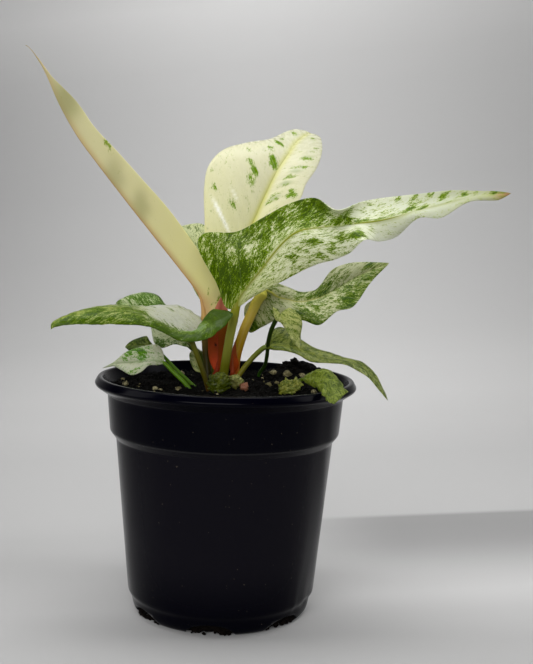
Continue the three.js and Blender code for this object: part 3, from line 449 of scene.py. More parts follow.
# The broad leaf at the left, with a lobe curling up at its base
LEAVES["leaf_large_left"] = dict(
    size=LARGE, stalk_radii=(1, 1.1), camber=(1, 1.5), crinkle=0.14,
    stalk=[(-7, -14, 94.5), (-9, -14.5, 101), (-11.4, -15, 107.5)],
    base=(-14, -16, 114), tip=(-66.2, -43, 120.8),
    rows=[
        ((-7.5, -12, 126.3), (-15, -16.5, 115), (-10.5, -5, 118.5)),
        ((1.5, -18, 126.8), (-16.5, -17, 116.5), (-11.5, 1, 122.5)),
        ((-2, -22, 121), (-18.5, -18, 117.5), (-15.5, 1, 125.5)),
        ((-9, -24, 116.5), (-21.5, -19, 119), (-20.5, 0, 127.5)),
        ((-18.5, -26, 116), (-25.5, -21, 121.5), (-27.5, -4, 128)),
        ((-27.5, -29, 120.5), (-32, -24, 125), (-34.5, -10, 127.5)),
        ((-35, -34, 122.5), (-37.5, -28, 127.2), (-40.5, -17, 127.6)),
        ((-43.5, -38, 123), (-44.5, -33, 128), (-46.5, -24, 127.9)),
        ((-51.5, -41, 123), (-52.5, -37, 127.3), (-53, -30, 127.2)),
        ((-58.5, -43, 123), (-59, -40, 126), (-59, -35, 125.6)),
        ((-64.3, -43.5, 122), (-65, -43, 123.3), (-65, -41.5, 123.3)),
    ],
    pale=[(0, "9b9d88"), (0.45, "a6a89a"), (0.6, "90965c"), (1, "808a3c")],
    stalk_pale=[
        (0, "3c2406"), (0.2, "3a3406"), (0.6, "46440a"), (1, "5c5e1c"), (1.4, "6c7c24"), (2, "87905a"),
    ],
    rib="6c7c24", green="526c04", deep="2c4200", veil_green="7e8a4a", veil=0.35, cover=-0.1, scale=1.25,
    stretch=0.7, sweep=1.4, seed=41, vein_spacing=6, vein_line=0.08, quilt=0.2,
    zones=[
        (1.1, 0.3, [(0.2, -1.1), (0.2, -0.02), (2.6, 0.12), (11.8, -0.02), (11.8, -1.1)]),
        (0.4, 0.3, [(0.2, -1.1), (0.2, -0.45), (3.2, -0.6), (6.2, -0.75), (6.2, -1.1)]),
        (0.75, 0.4, [(6, 0), (6.4, 1.1), (11.8, 1.1), (11.8, 0)]),
    ],
    spots=[
        (5.6, 0.65, 1.5, 1, 1), (4.5, 0.7, 1.5, 1, 0.9), (3.84, 0.9, 2, 1.2, 0.8),
        (2.58, 0.65, 1.2, 0.8, 0.7), (7.2, -0.2, 4, 3, -0.35), (8.6, -0.15, 4, 3, -0.25),
        (8, -0.6, 5, 4, -0.3), (9.6, -0.4, 4, 3, -0.3), (4.6, -0.3, 3, 2, -0.25),
        # The last three spots are painted light and shade on the curled lobe: painted shade along its upper
        # margin, and a painted highlight in its hollow
        (6.2, -0.5, 4, 3, -0.25), (2.2, -0.97, 4, 5, 0.9), (2.7, -0.3, 2.5, 5, -0.8),
        (1.6, -0.35, 3, 3, -0.6),
    ],
    # A painted highlight: a grey-green sheen in the curled lobe's hollow
    tints=[("647c50", [(2.7, -0.3, 5, 8, 1), (1.6, -0.3, 5, 6, 1)])],
)

# The leaf behind it
LEAVES["leaf_behind_left"] = dict(
    size=MEDIUM, stalk_radii=(1, 1), camber=(1, 2),
    stalk=[(-8.5, 10.5, 94), (-8.8, 11, 100), (-11.5, 10, 106.3)],
    base=(-15.2, 8.5, 109.2), tip=(-50.5, 37, 125),
    rows=[
        ((-18.5, 7, 110), (-18.5, 10, 111.5), (-16, 15, 116)),
        ((-22.5, 9, 110.5), (-22.5, 13, 113.5), (-19, 20, 121.5)),
        ((-28, 12, 108.5), (-27, 17, 116.5), (-26.8, 25, 125.3)),
        ((-31.8, 16, 111.5), (-31.5, 21, 120), (-31, 29.5, 129.3)),
        ((-27.5, 20.5, 118.3), (-36.5, 25, 123), (-36.5, 32, 130.5)),
        ((-38, 26, 121.8), (-42.5, 29, 125), (-43, 34.5, 129.2)),
        ((-46.5, 32, 123.5), (-47, 33, 125.5), (-47, 36, 127)),
    ],
    pale=[(0, "b0b684"), (0.6, "b6bf98"), (1, "9ca878")],
    stalk_pale=[(0, "34400e"), (1, "3c4a12"), (2, "667440")],
    rib="7c8a48", green="4e6e10", deep="2c4804", veil_green="84916a", veil=0.6, cover=0.62, seed=43,
    quilt=0.14,
    spots=[
        (3.6, -0.4, 6, 5, -0.6), (2.6, -0.5, 4, 4, -0.5), (3.2, -0.95, 6, 2, 0.6), (4, 0.6, 9, 9, 0.3),
    ],
)

# The low leaf at the left, with a dry thread for a tip
LEAVES["leaf_low_left"] = dict(
    size=MEDIUM, stalk_radii=(0.9, 0.8), camber=(1, 1),
    stalk=[(-14.5, -11, 94), (-17, -10.5, 97), (-21.5, -9.5, 101)],
    base=(-25.5, -8, 104.5), tip=(-51.5, -3, 101),
    rows=[
        ((-28, -10, 104), (-28, -8, 105), (-26.5, -5, 109)),
        ((-31.5, -12, 104), (-32, -8, 105), (-29, -4, 111.5)),
        ((-34.5, -13, 101.5), (-35.5, -7.5, 104.5), (-33.5, -4, 111)),
        ((-38.5, -12.5, 100), (-39, -7, 104), (-38.5, -4, 109.5)),
        ((-43, -9, 101.5), (-43, -6, 103.5), (-42.5, -4, 107.5)),
        ((-46.8, -4.7, 102.3), (-47, -4, 102.7), (-46.8, -3.4, 103.2)),
    ],
    pale=[(0, "a1a48c"), (1, "9c9f8a")],
    stalk_pale=[(0, "3c5a0a"), (0.5, "4a6e10"), (1, "4a6a10"), (1.4, "5c7224"), (2, "7c8848")],
    rib="4e7008", rib_width=0.8, green="4e7c06", deep="305204", veil_green="84925a", cover=0.12, seed=47,
    vein_spacing=4, quilt=0.16, rough=0.22,
    spots=[
        (4.3, 0.7, 2.5, 2, 0.8), (3.1, 0.5, 3, 2.6, 0.8), (2.5, 0.75, 2, 1.5, 0.5),
        (4.6, 0.2, 2, 1.5, 0.5),
    ],
)

# A small curled leaf behind the low one
LEAVES["leaf_curled_left"] = dict(
    size=SMALL, stalk_radii=(0.85, 0.7), camber=(0.6, 0.6),
    stalk=[(-12.5, -5, 94), (-15.5, -3.5, 96.5), (-21.5, -0.5, 101.5)],
    base=(-28, 2, 107.5), tip=(-43, 6, 109),
    rows=[
        ((-32, 0, 108), (-31.5, 2.5, 109), (-32.5, 4, 112)),
        ((-35, 0, 108), (-34.5, 3, 110), (-34, 4.5, 114)),
        ((-38, 1, 108.5), (-37.5, 3.5, 110), (-37.5, 5, 113)),
        ((-41, 3, 108), (-40.5, 4.5, 110), (-40.5, 6, 111.5)),
    ],
    pale=[(0, "6c7438"), (1, "7c8446")],
    stalk_pale=[(0, "3c5a0a"), (1, "42640e"), (2, "6c7a40")],
    rib="66742c", green="485a0e", deep="243404", veil_green="626e34", cover=0.9, seed=53,
    vein_spacing=3.5, quilt=0.14,
)

# A small folded leaf at the crown
LEAVES["leaf_folded_crown"] = dict(
    size=SMALL, stalk_radii=(0.8, 0.7), camber=(0.5, 0.5),
    stalk=[(-10, 11.5, 95.5), (-10, 12, 97)],
    base=(-10.5, 12.5, 98), tip=(-14, 15.5, 109),
    rows=[
        ((-13.5, 12.5, 99), (-11.5, 13.5, 100), (-9.5, 14, 101)),
        ((-15.5, 13.5, 102.5), (-12.5, 14.5, 103), (-10, 15.5, 104.5)),
        ((-16, 14.5, 106), (-13.5, 15, 105.5), (-11, 16, 107)),
    ],
    pale=[(0, "94985a"), (1, "a0a478")],
    stalk_pale=[(0, "4c4a14"), (1, "5c6424"), (2, "7c8644")],
    rib="7c8440", green="4c5f10", deep="2c4404", veil_green="74804a", cover=0.42, scale=1.5, seed=59,
    vein_spacing=3.5,
)

# A round crinkled leaf at the front of the crown
LEAVES["leaf_crinkled_crown"] = dict(
    size=MEDIUM, stalk_radii=(0.8, 0.8), camber=(0.8, 0.8), crinkle=0.7,
    stalk=[(-4, -19.5, 93), (-4, -19.5, 93.7)],
    base=(-4, -20, 94.3), tip=(-1.3, -20.5, 103.2),
    rows=[
        ((-6.7, -19, 96), (-3.5, -20.8, 95.6), (0.3, -20, 95.7)),
        ((-7.3, -19.2, 98.3), (-3.2, -21.4, 97.6), (1.4, -20.4, 97.8)),
        ((-6.9, -19.6, 100.6), (-2.8, -21.6, 99.8), (1.8, -20.7, 99.8)),
        ((-5, -20, 102.5), (-2.2, -21.5, 101.8), (1.3, -21, 101.6)),
    ],
    pale=[(0, "484c12"), (1, "585c1e")],
    stalk_pale=[(0, "3c4410"), (1, "36440c"), (2, "4c5c1c")],
    rib="5c6a1c", rib_width=0.6, green="323c00", deep="1a2400", veil_green="40490a", cover=0.72,
    contrast=5, scale=1.7, seed=61, vein_spacing=2.2, vein_line=0.5, quilt=0.2,
)

# A pale crinkled leaf beside it
LEAVES["leaf_crinkled_pale"] = dict(
    size=MEDIUM, stalk_radii=(0.7, 0.7), camber=(0.4, 0.4), crinkle=1.1,
    stalk=[(3.5, -11.5, 93.5), (3.5, -11.5, 94.3)],
    base=(3.7, -11.5, 95), tip=(4.6, -11.5, 101.2),
    rows=[
        ((1.6, -11, 97.2), (3.5, -12.5, 96.6), (6.2, -11.5, 96.4)),
        ((0.9, -11, 99), (3.9, -12.8, 98.3), (6.8, -12, 97.8)),
        ((1.6, -11, 100.5), (4.2, -12.4, 99.7), (7, -12, 98.9)),
    ],
    pale=[(0, "6c6c34"), (1, "8a8a58")],
    stalk_pale=[(0, "5c5420"), (1, "6c6c2c"), (2, "78783c")],
    rib="6c6c34", green="4a5614", deep="27340a", veil_green="5c6228", cover=0.42, scale=1.9, seed=67,
    vein_spacing=2, quilt=0.16,
)

# A crinkled leaf at the right front
LEAVES["leaf_crinkled_right"] = dict(
    size=MEDIUM, stalk_radii=(0.7, 0.7), camber=(0.4, 0.4), crinkle=1.3,
    stalk=[(21.7, -17.5, 93.5), (21.7, -18, 94.3)],
    base=(22, -18.5, 95), tip=(31, -21.3, 99),
    rows=[
        ((20.8, -16.5, 97.6), (23, -19, 96.3), (24, -20, 94.8)),
        ((22.8, -16.5, 99.8), (25, -19.5, 97.6), (26.5, -21, 95.3)),
        ((26, -17, 100.8), (27.3, -20, 98.6), (28.5, -21.3, 96.5)),
        ((29, -18.5, 100.8), (29.5, -20.5, 99), (30, -21.5, 97.8)),
    ],
    pale=[(0, "68682c"), (1, "7c7e40")],
    stalk_pale=[(0, "5c5c1c"), (1, "66681e"), (2, "747830")],
    rib="66681e", green="4a5612", deep="283406", veil_green="5c6222", cover=0.58, scale=1.8, seed=71,
    vein_spacing=2, quilt=0.2,
)

# A dry pink scrap of old sheath, standing at the crown
LEAVES["scrap_pink"] = dict(
    size=SMALL, stalk_radii=(0.4, 0.4), camber=(0.3, 0.3), crinkle=0.7,
    stalk=[(7, -14.5, 93.3), (7, -14.5, 94)],
    base=(7.3, -14.5, 94.6), tip=(8.6, -14.5, 98.6),
    rows=[
        ((6, -14, 96), (7.3, -15, 95.7), (8.6, -14.2, 95.6)),
        ((6, -14, 97.5), (7.6, -15.2, 97), (8.9, -14.6, 96.9)),
    ],
    pale=[(0, "4c301c"), (1, "704838")],
    stalk_pale=[(0, "7c4c34"), (1, "8c5c44"), (2, "946c5c")],
    rib="80543e", green="5c4420", deep="3c2c10", veil_green="6c4c34", cover=0.2, scale=1.8, seed=73,
    vein_spacing=3, quilt=0.08, under=0,
)

# The rear leaf, mostly hidden by the others
LEAVES["leaf_rear"] = dict(
    size=SMALL, stalk_radii=(1.5, 1.3), camber=(1, 1),
    stalk=[(-5.5, 16, 95), (-6, 19, 107), (-7.5, 22, 116.5)],
    base=(-9, 25, 124), tip=(-24.5, 54, 159.5),
    rows=[
        ((-15, 29, 132), (-10, 27, 129), (-5, 28, 132.5)),
        ((-18.5, 33, 140.5), (-11, 30, 135.5), (-3.5, 32, 140)),
        ((-22.5, 39, 147.5), (-12.5, 34, 142.5), (-5, 37, 147.5)),
        ((-24.5, 44, 153), (-14.5, 38, 149), (-7.5, 42, 154)),
        ((-26, 49, 157), (-17.5, 43, 154), (-11, 47, 160)),
        ((-26.5, 53, 159.5), (-21, 48, 158), (-15.5, 51, 161.5)),
    ],
    pale=[(0, "a4aa70"), (1, "b4b98e")],
    stalk_pale=[(0, "4c5a18"), (1, "5c6c24"), (2, "7c884c")],
    rib="7c8848", green="4c6210", deep="2c4404", veil_green="7c8a50", cover=0.3, seed=79,
    vein_spacing=4.5, quilt=0.14,
)

# The red sheath that wrapped the newest leaf
LEAVES["sheath_red_large"] = dict(
    size=SMALL, stalk_radii=(2.4, 2.2), camber=(0, 0), rib_shrink=14, rib_least=0.02, flat_stalk=0.8,
    stalk=[(-4, 3.5, 94), (-4, 3.5, 96.5)],
    base=(-4, 3.6, 98.5), tip=(-3, 4, 131.5),
    rows=[
        ((-0.5, 5, 105), (-4, 4.2, 105), (-7.2, 5, 104.5)),
        ((0, 5.5, 112), (-4, 4.4, 112), (-8, 5.5, 111.5)),
        ((0.5, 5.5, 119.5), (-4, 4.6, 120), (-7.7, 5.5, 119.5)),
        ((0, 5, 125), (-3.5, 4.4, 125.6), (-6, 5, 125)),
        ((-1.5, 4.8, 129), (-3.1, 4.4, 129.3), (-4.4, 4.8, 129)),
    ],
    pale=[(0, "862804"), (0.3, "703404"), (0.6, "784408"), (0.72, "a4604a"), (1, "b0705a")],
    stalk_pale=[(0, "4c1402"), (1, "641a02"), (1.4, "6e2808"), (2, "a85c3c")],
    rib="6c2608", green="3a1408", deep="1c0c04", veil_green="5c1c04", veil=0.6, cover=-0.45, seed=83,
    vein_spacing=1.6, quilt=0.08, rough=0.4, shine=0.08, glow=0.02, under=0,
    spots=[(1.9, 0.2, 1.6, 0.8, 1.4), (2.3, -0.3, 1.6, 1.2, 0.6), (1.2, 0.5, 2.5, 1.2, 0.6)],
    tints=[("9c3414", [(0.7, 0.9, 3, 6, 0.8), (1.8, 0.95, 2, 8, 0.5)])],
)

# A smaller red sheath, ending in a dry thread
LEAVES["sheath_red_small"] = dict(
    size=SMALL, stalk_radii=(1.3, 1.3), camber=(0, 0), flat_stalk=0.8,
    stalk=[(2, 1.5, 94.5), (2, 1.5, 96.5)],
    base=(2.5, 1, 98.5), tip=(3.5, 2.5, 114),
    rows=[
        ((5, 2.5, 103), (2.5, 1, 103), (1, 2.5, 103)),
        ((4, 2.5, 107.5), (2.5, 1.5, 108), (1.5, 2.5, 107.5)),
    ],
    pale=[(0, "6c2004"), (0.5, "84340c"), (1, "5c3818")],
    stalk_pale=[(0, "4c1402"), (1, "6c2004"), (2, "6c4020")],
    rib="6c2808", green="3a1408", deep="1c0c04", veil_green="5c240c", cover=-0.5, seed=89,
    vein_spacing=1.6, quilt=0.06, rough=0.4, shine=0.08, glow=0.02, under=0,
)


# Numbers and colours


def rgb(hex_code):
    """The linear colour of a six-digit screen colour."""
    channels = [int(hex_code[k:k + 2], 16) / 255 for k in (0, 2, 4)]
    return tuple(c / 12.92 if c <= 0.04045 else ((c + 0.055) / 1.055) ** 2.4 for c in channels)


def ease(x):
    """A smooth step from 0 to 1."""
    x = np.clip(x, 0, 1)
    return x * x * (3 - 2 * x)


def spline(points, t):
    """Points at places t of a smooth curve through all the points, one unit of t between two."""
    p = np.asarray(points, float)
    t = np.atleast_1d(np.asarray(t, float))
    last = len(p) - 1
    i = np.clip(np.floor(t).astype(int), 0, last - 1)
    f = (t - i)[:, None]
    b, c = p[i], p[i + 1]
    a = np.where((i > 0)[:, None], p[np.maximum(i - 1, 0)], 2 * b - c)
    d = np.where((i + 2 <= last)[:, None], p[np.minimum(i + 2, last)], 2 * c - b)
    slope_in = (c - a) / 2
    slope_out = (d - b) / 2
    bend = 2 * (b - c) + slope_in + slope_out
    pull = 3 * (c - b) - 2 * slope_in - slope_out
    return b + f * (slope_in + f * (pull + f * bend))


def unit(vectors):
    """The same vectors at length 1."""
    length = np.linalg.norm(vectors, axis=-1, keepdims=True)
    return vectors / np.maximum(length, 1e-9)


def run_length(points):
    """How far along a line of points each one is."""
    return np.concatenate([[0], np.cumsum(np.linalg.norm(np.diff(points, axis=0), axis=1))])


# Meshes


def tube_faces(rings, sides):
    """Faces between rings of points that are numbered ring after ring."""
    index = np.arange(rings * sides).reshape(rings, sides)
    following = np.roll(index, -1, axis=1)
    faces = np.stack([index[:-1], following[:-1], following[1:], index[1:]], axis=-1)
    return faces.reshape(-1, 4).tolist()


def end_caps(rings, sides):
    """The two flat faces that close such a tube."""
    last = (rings - 1) * sides
    return [list(reversed(range(sides))), list(range(last, last + sides))]


def new_object(name, points, faces, material, smooth=True):
    """A mesh object from points in millimetres, in the frame's metres."""
    mesh = bpy.data.meshes.new(name)
    mesh.from_pydata((np.asarray(points) * MM).tolist(), [], faces)
    mesh.materials.append(material)
    mesh.validate()
    piece = bpy.data.objects.new(name, mesh)
    bpy.context.scene.collection.objects.link(piece)
    if smooth:
        mesh.polygons.foreach_set("use_smooth", [True] * len(mesh.polygons))
    return piece


def add_number(piece, name, values):
    """A number at each point, which the material reads by its name."""
    layer = piece.data.attributes.new(name, "FLOAT", "POINT")
    layer.data.foreach_set("value", np.asarray(values, np.float32))


def add_colour(piece, name, values):
    """A colour at each point, which the material reads by its name."""
    layer = piece.data.color_attributes.new(name, "FLOAT_COLOR", "POINT")
    rgba = np.ones((len(values), 4), np.float32)
    rgba[:, :3] = values
    layer.data.foreach_set("color", rgba.ravel())


def add_places(piece, name, values):
    """A flat place at each point, as a UV map."""
    layer = piece.data.uv_layers.new(name=name)
    corners = np.empty(len(piece.data.loops), np.int32)
    piece.data.loops.foreach_get("vertex_index", corners)
    layer.data.foreach_set("uv", np.asarray(values, np.float32)[corners].ravel())


# Materials


class Nodes:
    """A small helper that adds linked nodes to one material."""

    def __init__(self, name):
        self.material = bpy.data.materials.new(name)
        self.material.use_nodes = True
        self.tree = self.material.node_tree
        self.shader = self.tree.nodes["Principled BSDF"]

    def add(self, kind, inputs=None, **settings):
        """A node with its settings, and its inputs linked or set."""
        node = self.tree.nodes.new(kind)
        for key, value in settings.items():
            setattr(node, key, value)
        for key, value in (inputs or {}).items():
            self.feed(node.inputs[key], value)
        return node

    def feed(self, socket, value):
        """Links a socket to another one, or sets its own value."""
        if isinstance(value, bpy.types.NodeSocket):
            self.tree.links.new(value, socket)
        elif isinstance(value, tuple) and len(value) == 3 and socket.type == "RGBA":
            socket.default_value = (*value, 1)
        else:
            socket.default_value = value

    def math(self, operation, *values):
        return self.add("ShaderNodeMath", dict(enumerate(values)), operation=operation).outputs[0]

    def add_up(self, *values):
        """The sum of two or more numbers."""
        total = values[0]
        for value in values[1:]:
            total = self.math("ADD", total, value)
        return total

    def times(self, value, factor):
        return self.math("MULTIPLY", value, factor)

    def less(self, value, taken):
        return self.math("SUBTRACT", value, taken)

    def mix(self, factor, low, high):
        """A colour between two others."""
        node = self.add("ShaderNodeMix", data_type="RGBA")
        for socket, value in zip((node.inputs[0], node.inputs[6], node.inputs[7]), (factor, low, high)):
            self.feed(socket, value)
        return node.outputs[2]

    def dulled(self, colour, share):
        """A colour darkened to a share of itself."""
        dull = self.mix(1.0, colour, (share, share, share))
        dull.node.blend_type = "MULTIPLY"
        return dull

    def spread(self, value, low, high, to_low=0, to_high=1):
        """A smooth step from one number to another, while the value runs from low to high."""
        inputs = {"Value": value, "From Min": low, "From Max": high, "To Min": to_low, "To Max": to_high}
        node = self.add("ShaderNodeMapRange", inputs, interpolation_type="SMOOTHSTEP")
        return node.outputs["Result"]

    def band(self, value, start, full, fading, end):
        """1 between full and fading, and 0 before start and after end."""
        return self.times(self.spread(value, start, full), self.spread(value, fading, end, 1, 0))

    def noise(self, place, scale, detail=2, roughness=0.5, distortion=0):
        inputs = {
            "Vector": place, "Scale": scale, "Detail": detail,
            "Roughness": roughness, "Distortion": distortion,
        }
        return self.add("ShaderNodeTexNoise", inputs).outputs["Fac"]

    def stretched(self, place, scale, offset=(0, 0, 0)):
        """A place, scaled and shifted."""
        node = self.add("ShaderNodeMapping", {"Vector": place, "Scale": scale, "Location": offset})
        return node.outputs["Vector"]

    def place(self):
        """The place on the piece, in metres."""
        return self.add("ShaderNodeTexCoord").outputs["Object"]

    def axes(self, place):
        """A place as three numbers."""
        return self.add("ShaderNodeSeparateXYZ", {0: place}).outputs

    def attribute(self, name, output):
        """What add_number or add_colour stored under a name: its Fac or its Color."""
        return self.add("ShaderNodeAttribute", attribute_name=name).outputs[output]

    def bump(self, height, distance, strength=1, under=None):
        """A bumped normal, over another one if there is one under it."""
        inputs = {"Height": height, "Distance": distance, "Strength": strength}
        if under is not None:
            inputs["Normal"] = under
        return self.add("ShaderNodeBump", inputs).outputs["Normal"]

    def finish(self, **inputs):
        """Feeds the shader, and gives the material."""
        for name, value in inputs.items():
            self.feed(self.shader.inputs[name.replace("_", " ")], value)
        return self.material


def leaf_material(name, leaf):
    """Pale tissue splashed with green along the side veins, with fine flecks and a waxy skin."""
    m = Nodes(name)
    veins = m.add("ShaderNodeUVMap", uv_map="veins").outputs["UV"]
    tissue = m.attribute("tissue", "Color")
    seed = leaf["seed"]
    fineness = (leaf["scale"], leaf["scale"] / leaf["stretch"], 1)
    drawn_out = m.stretched(veins, fineness, (seed, seed * 1.7, 0))
    splashes = m.noise(drawn_out, 0.26, 2, 0.5, 0.9)
    blotches = m.noise(drawn_out, 0.75, 3, 0.62, 0.8)
    flecks = m.noise(m.stretched(veins, fineness, (seed * 3, 5, 0)), 1.9, 3, 0.7, 0.5)
    grain = m.add_up(m.times(splashes, 0.27), m.times(blotches, 0.36), m.times(flecks, 0.37))
    level = m.add_up(m.attribute("cover", "Fac"), m.times(m.less(grain, 0.5), leaf["contrast"]))
    depth = m.add_up(m.spread(level, 0.5, 1.3), m.times(m.less(flecks, 0.5), 1.6))
    green = m.mix(depth, rgb(leaf["green"]), rgb(leaf["deep"]))
    veil = m.times(m.spread(level, 0, 0.5), leaf["veil"])
    veiled = m.mix(veil, tissue, rgb(leaf["veil_green"]))
    skin = m.mix(m.spread(level, 0.4, 0.64), veiled, green)
    vein_count = m.times(m.axes(veins)[0], 1 / leaf["vein_spacing"])
    off_vein = m.math("ABSOLUTE", m.less(m.math("FRACT", vein_count), 0.5))
    skin = m.mix(m.times(m.spread(off_vein, 0.44, 0.5), leaf["vein_line"]), skin, tissue)
    roughness = m.spread(m.noise(veins, 0.35, 2), 0.3, 0.7, leaf["rough"], leaf["rough"] + 0.14)
    cells = m.noise(veins, 9, 3, 0.6)
    normal = m.bump(cells, 0.00006, 0.4, m.bump(blotches, 0.0003, 0.35))
    return m.finish(
        Base_Color=skin, Roughness=roughness, Normal=normal, Specular_IOR_Level=leaf["shine"],
        Subsurface_Weight=leaf["glow"], Subsurface_Radius=(0.0012, 0.0012, 0.0004), Subsurface_Scale=1,
    )


# Leaves


def blade_lines(leaf):
    """The left margin, the midrib and the right margin, from the base to the tip."""
    rows = np.array(leaf["rows"], float)
    base = np.array(leaf["base"], float)[None]
    tip = np.array(leaf["tip"], float)[None]
    return [np.vstack([base, rows[:, side], tip]) for side in range(3)]


def margin_points(margin, rib, t):
    """Points of a margin. Past the last row it closes straight in on the midrib."""
    last_row = len(margin) - 2
    reach = margin[last_row] - rib[last_row]
    closing = spline(rib, t) + reach * (last_row + 1 - t)[:, None]
    return np.where((t <= last_row)[:, None], spline(margin, np.minimum(t, last_row)), closing)


def grid_normals(grid):
    """The direction square to a grid of points, on its upper side."""
    square = np.cross(grid[1:, 1:] - grid[:-1, :-1], grid[1:, :-1] - grid[:-1, 1:])
    normals = np.zeros_like(grid)
    for di in (0, 1):
        for dj in (0, 1):
            normals[di:grid.shape[0] - 1 + di, dj:grid.shape[1] - 1 + dj] += square
    return unit(normals)


def creases(points):
    """A height for each point, of coarse and fine creases."""
    heights = []
    for point in points.reshape(-1, 3):
        place = Vector(point)
        heights.append(noise.noise(place * 0.55) + 0.6 * noise.noise(place * 1.3))
    return np.array(heights).reshape(points.shape[:-1])


def blade_surface(leaf):
    """The middle surface of a blade: points, normals, places t along and u across, vein places."""
    steps, columns = leaf["size"]
    left, rib, right = blade_lines(leaf)
    intervals = len(rib) - 1
    t = np.linspace(0, intervals, intervals * steps + 1)[1:-1]
    j = np.linspace(-1, 1, 2 * columns + 1)
    u = np.sign(j) * np.abs(j) ** COLUMN_CROWDING
    middle = spline(rib, t)
    reach = [margin_points(margin, rib, t) - middle for margin in (left, right)]
    for side, out in enumerate(reach):
        wave = [noise.noise(Vector((2.3 * k, 9 * side, leaf["tip"][0]))) for k in t]
        out *= 1 + 0.5 * leaf["crinkle"] * np.array(wave)[:, None]
    chosen = np.where((u < 0)[None, :, None], reach[0][:, None], reach[1][:, None])
    flat = middle[:, None] + chosen * np.abs(u)[None, :, None]
    normals = grid_normals(flat)
    camber = np.where(u < 0, *leaf["camber"]) * 4 * np.abs(u) * (1 - np.abs(u))
    fade = np.sin(np.pi * t / intervals)
    away = np.linalg.norm(chosen, axis=2) * np.abs(u)[None]
    vein = run_length(middle)[:, None] - leaf["sweep"] * away
    quilt = np.abs(np.sin(np.pi * vein / leaf["vein_spacing"])) ** 0.8 - 0.6
    quilt *= leaf["quilt"] * ease(away / 3) * ease((1 - np.abs(u))[None] * 4)
    lift = camber[None] * fade[:, None] + quilt
    if leaf["crinkle"]:
        lift = lift + leaf["crinkle"] * creases(flat) * ease(fade * 3)[:, None]
    grid = flat + normals * lift[..., None]
    return grid, grid_normals(grid), t, u, np.stack([vein, away], axis=-1)


def blade_mesh(leaf):
    """Points, faces and places of a thin closed blade with rounded margins, and its middle surface."""
    grid, normals, t, u, veins = blade_surface(leaf)
    rows, columns = grid.shape[:2]
    width = np.linalg.norm(grid[:, 0] - grid[:, -1], axis=1)
    thick = BLADE_THICKNESS + (MARGIN_THICKNESS - BLADE_THICKNESS) * np.abs(u) ** 3
    half = np.minimum(thick[None] / 2, (width * 0.12)[:, None])[..., None]
    upper = grid + normals * half
    lower = grid - normals * half
    edge = unit(grid[:, 0] - grid[:, 1]) * half[:, 0] * 0.9
    far_edge = unit(grid[:, -1] - grid[:, -2]) * half[:, -1] * 0.9
    rings = np.concatenate([
        upper, (grid[:, -1] + far_edge)[:, None], lower[:, ::-1], (grid[:, 0] + edge)[:, None],
    ], axis=1)
    ring_u = np.concatenate([u, [1], u[::-1], [-1]])
    ring_veins = np.concatenate([veins, veins[:, -1:], veins[:, ::-1], veins[:, :1]], axis=1)
    under = np.concatenate([np.zeros(columns), [0.5], np.ones(columns), [0.5]])
    size = rings.shape[1]
    faces = tube_faces(rows, size)
    base_point = rows * size
    last_row = base_point - size
    for k in range(size):
        after = (k + 1) % size
        faces.append([base_point, after, k])
        faces.append([base_point + 1, last_row + k, last_row + after])
    points = np.vstack([rings.reshape(-1, 3), leaf["base"], leaf["tip"]])
    places = dict(
        t=np.concatenate([np.repeat(t, size), [0, t[-1]]]),
        u=np.concatenate([np.tile(ring_u, rows), [0, 0]]),
        under=np.concatenate([np.tile(under, rows), [0, 0]]),
        veins=np.vstack([ring_veins.reshape(-1, 2), [0, 0], ring_veins[-1, 0]]),
    )
    return points, faces, places, (grid, normals, t)


def stalk_mesh(leaf, blade):
    """Points, faces and places of the stalk, which runs on under the blade as its midrib."""
    grid, normals, t = blade
    middle = grid.shape[1] // 2
    stalk = np.array(leaf["stalk"], float)
    rib = blade_lines(leaf)[1]
    base = len(stalk)
    soil_radius, end_radius = leaf["stalk_radii"]

    # The free stalk, with one more station down in the soil
    q = np.linspace(0, base, base * STALK_STEPS + 1)
    root = stalk[0] + unit(stalk[0] - stalk[1]) * ROOT_DEPTH
    lower_part = np.vstack([root, spline(np.vstack([stalk, rib]), q)])
    lower_radius = np.concatenate([[soil_radius], soil_radius + (end_radius - soil_radius) * q / base])

    # The midrib, which thins toward the tip and is sunk into the blade
    share = t / (len(rib) - 1)
    least = leaf["rib_least"]
    thinned = least + (1 - least) * np.exp(-leaf["rib_shrink"] * share)
    rib_radius = np.maximum(end_radius * thinned * (1 - share ** 3), RIB_LEAST_RADIUS)
    sunk = np.maximum(rib_radius - BLADE_THICKNESS / 2 - RIB_PROUD, 0) * ease(share * 8)
    upper_part = grid[:, middle] - normals[:, middle] * sunk[:, None]

    centres = np.vstack([lower_part, upper_part])
    radius = np.concatenate([lower_radius, rib_radius])
    thick = np.minimum(radius, leaf["flat_stalk"])
    along = unit(np.gradient(centres, axis=0))
    first_across = np.subtract(leaf["rows"][0][2], leaf["rows"][0][0])
    across = unit(np.vstack([np.repeat(first_across[None], len(lower_part), 0), grid[:, -1] - grid[:, 0]]))
    for _ in range(ACROSS_ROUNDS):
        across[1:-1] = unit(across[:-2] + 2 * across[1:-1] + across[2:])
    side = unit(across - along * (across * along).sum(1)[:, None])
    up = np.cross(side, along)
    angle = -2 * np.pi * np.arange(STALK_SIDES) / STALK_SIDES
    channel = 1 - CHANNEL_DEPTH * np.exp(-((np.abs(angle) - np.pi / 2 * 3) / 0.45) ** 2)
    ring = (np.cos(angle) * channel)[None, :, None] * side[:, None] * radius[:, None, None]
    ring = ring + (np.sin(angle) * channel)[None, :, None] * up[:, None] * thick[:, None, None]
    points = centres[:, None] + ring
    count = len(centres)
    faces = tube_faces(count, STALK_SIDES) + end_caps(count, STALK_SIDES)
    run = run_length(centres)
    places = dict(
        place=np.repeat(np.concatenate([[0], q / base, 1 + share]), STALK_SIDES),
        veins=np.stack([np.tile(np.abs(angle), count) * 0.8, np.repeat(run, STALK_SIDES)], axis=-1),
    )
    return points.reshape(-1, 3), faces, places


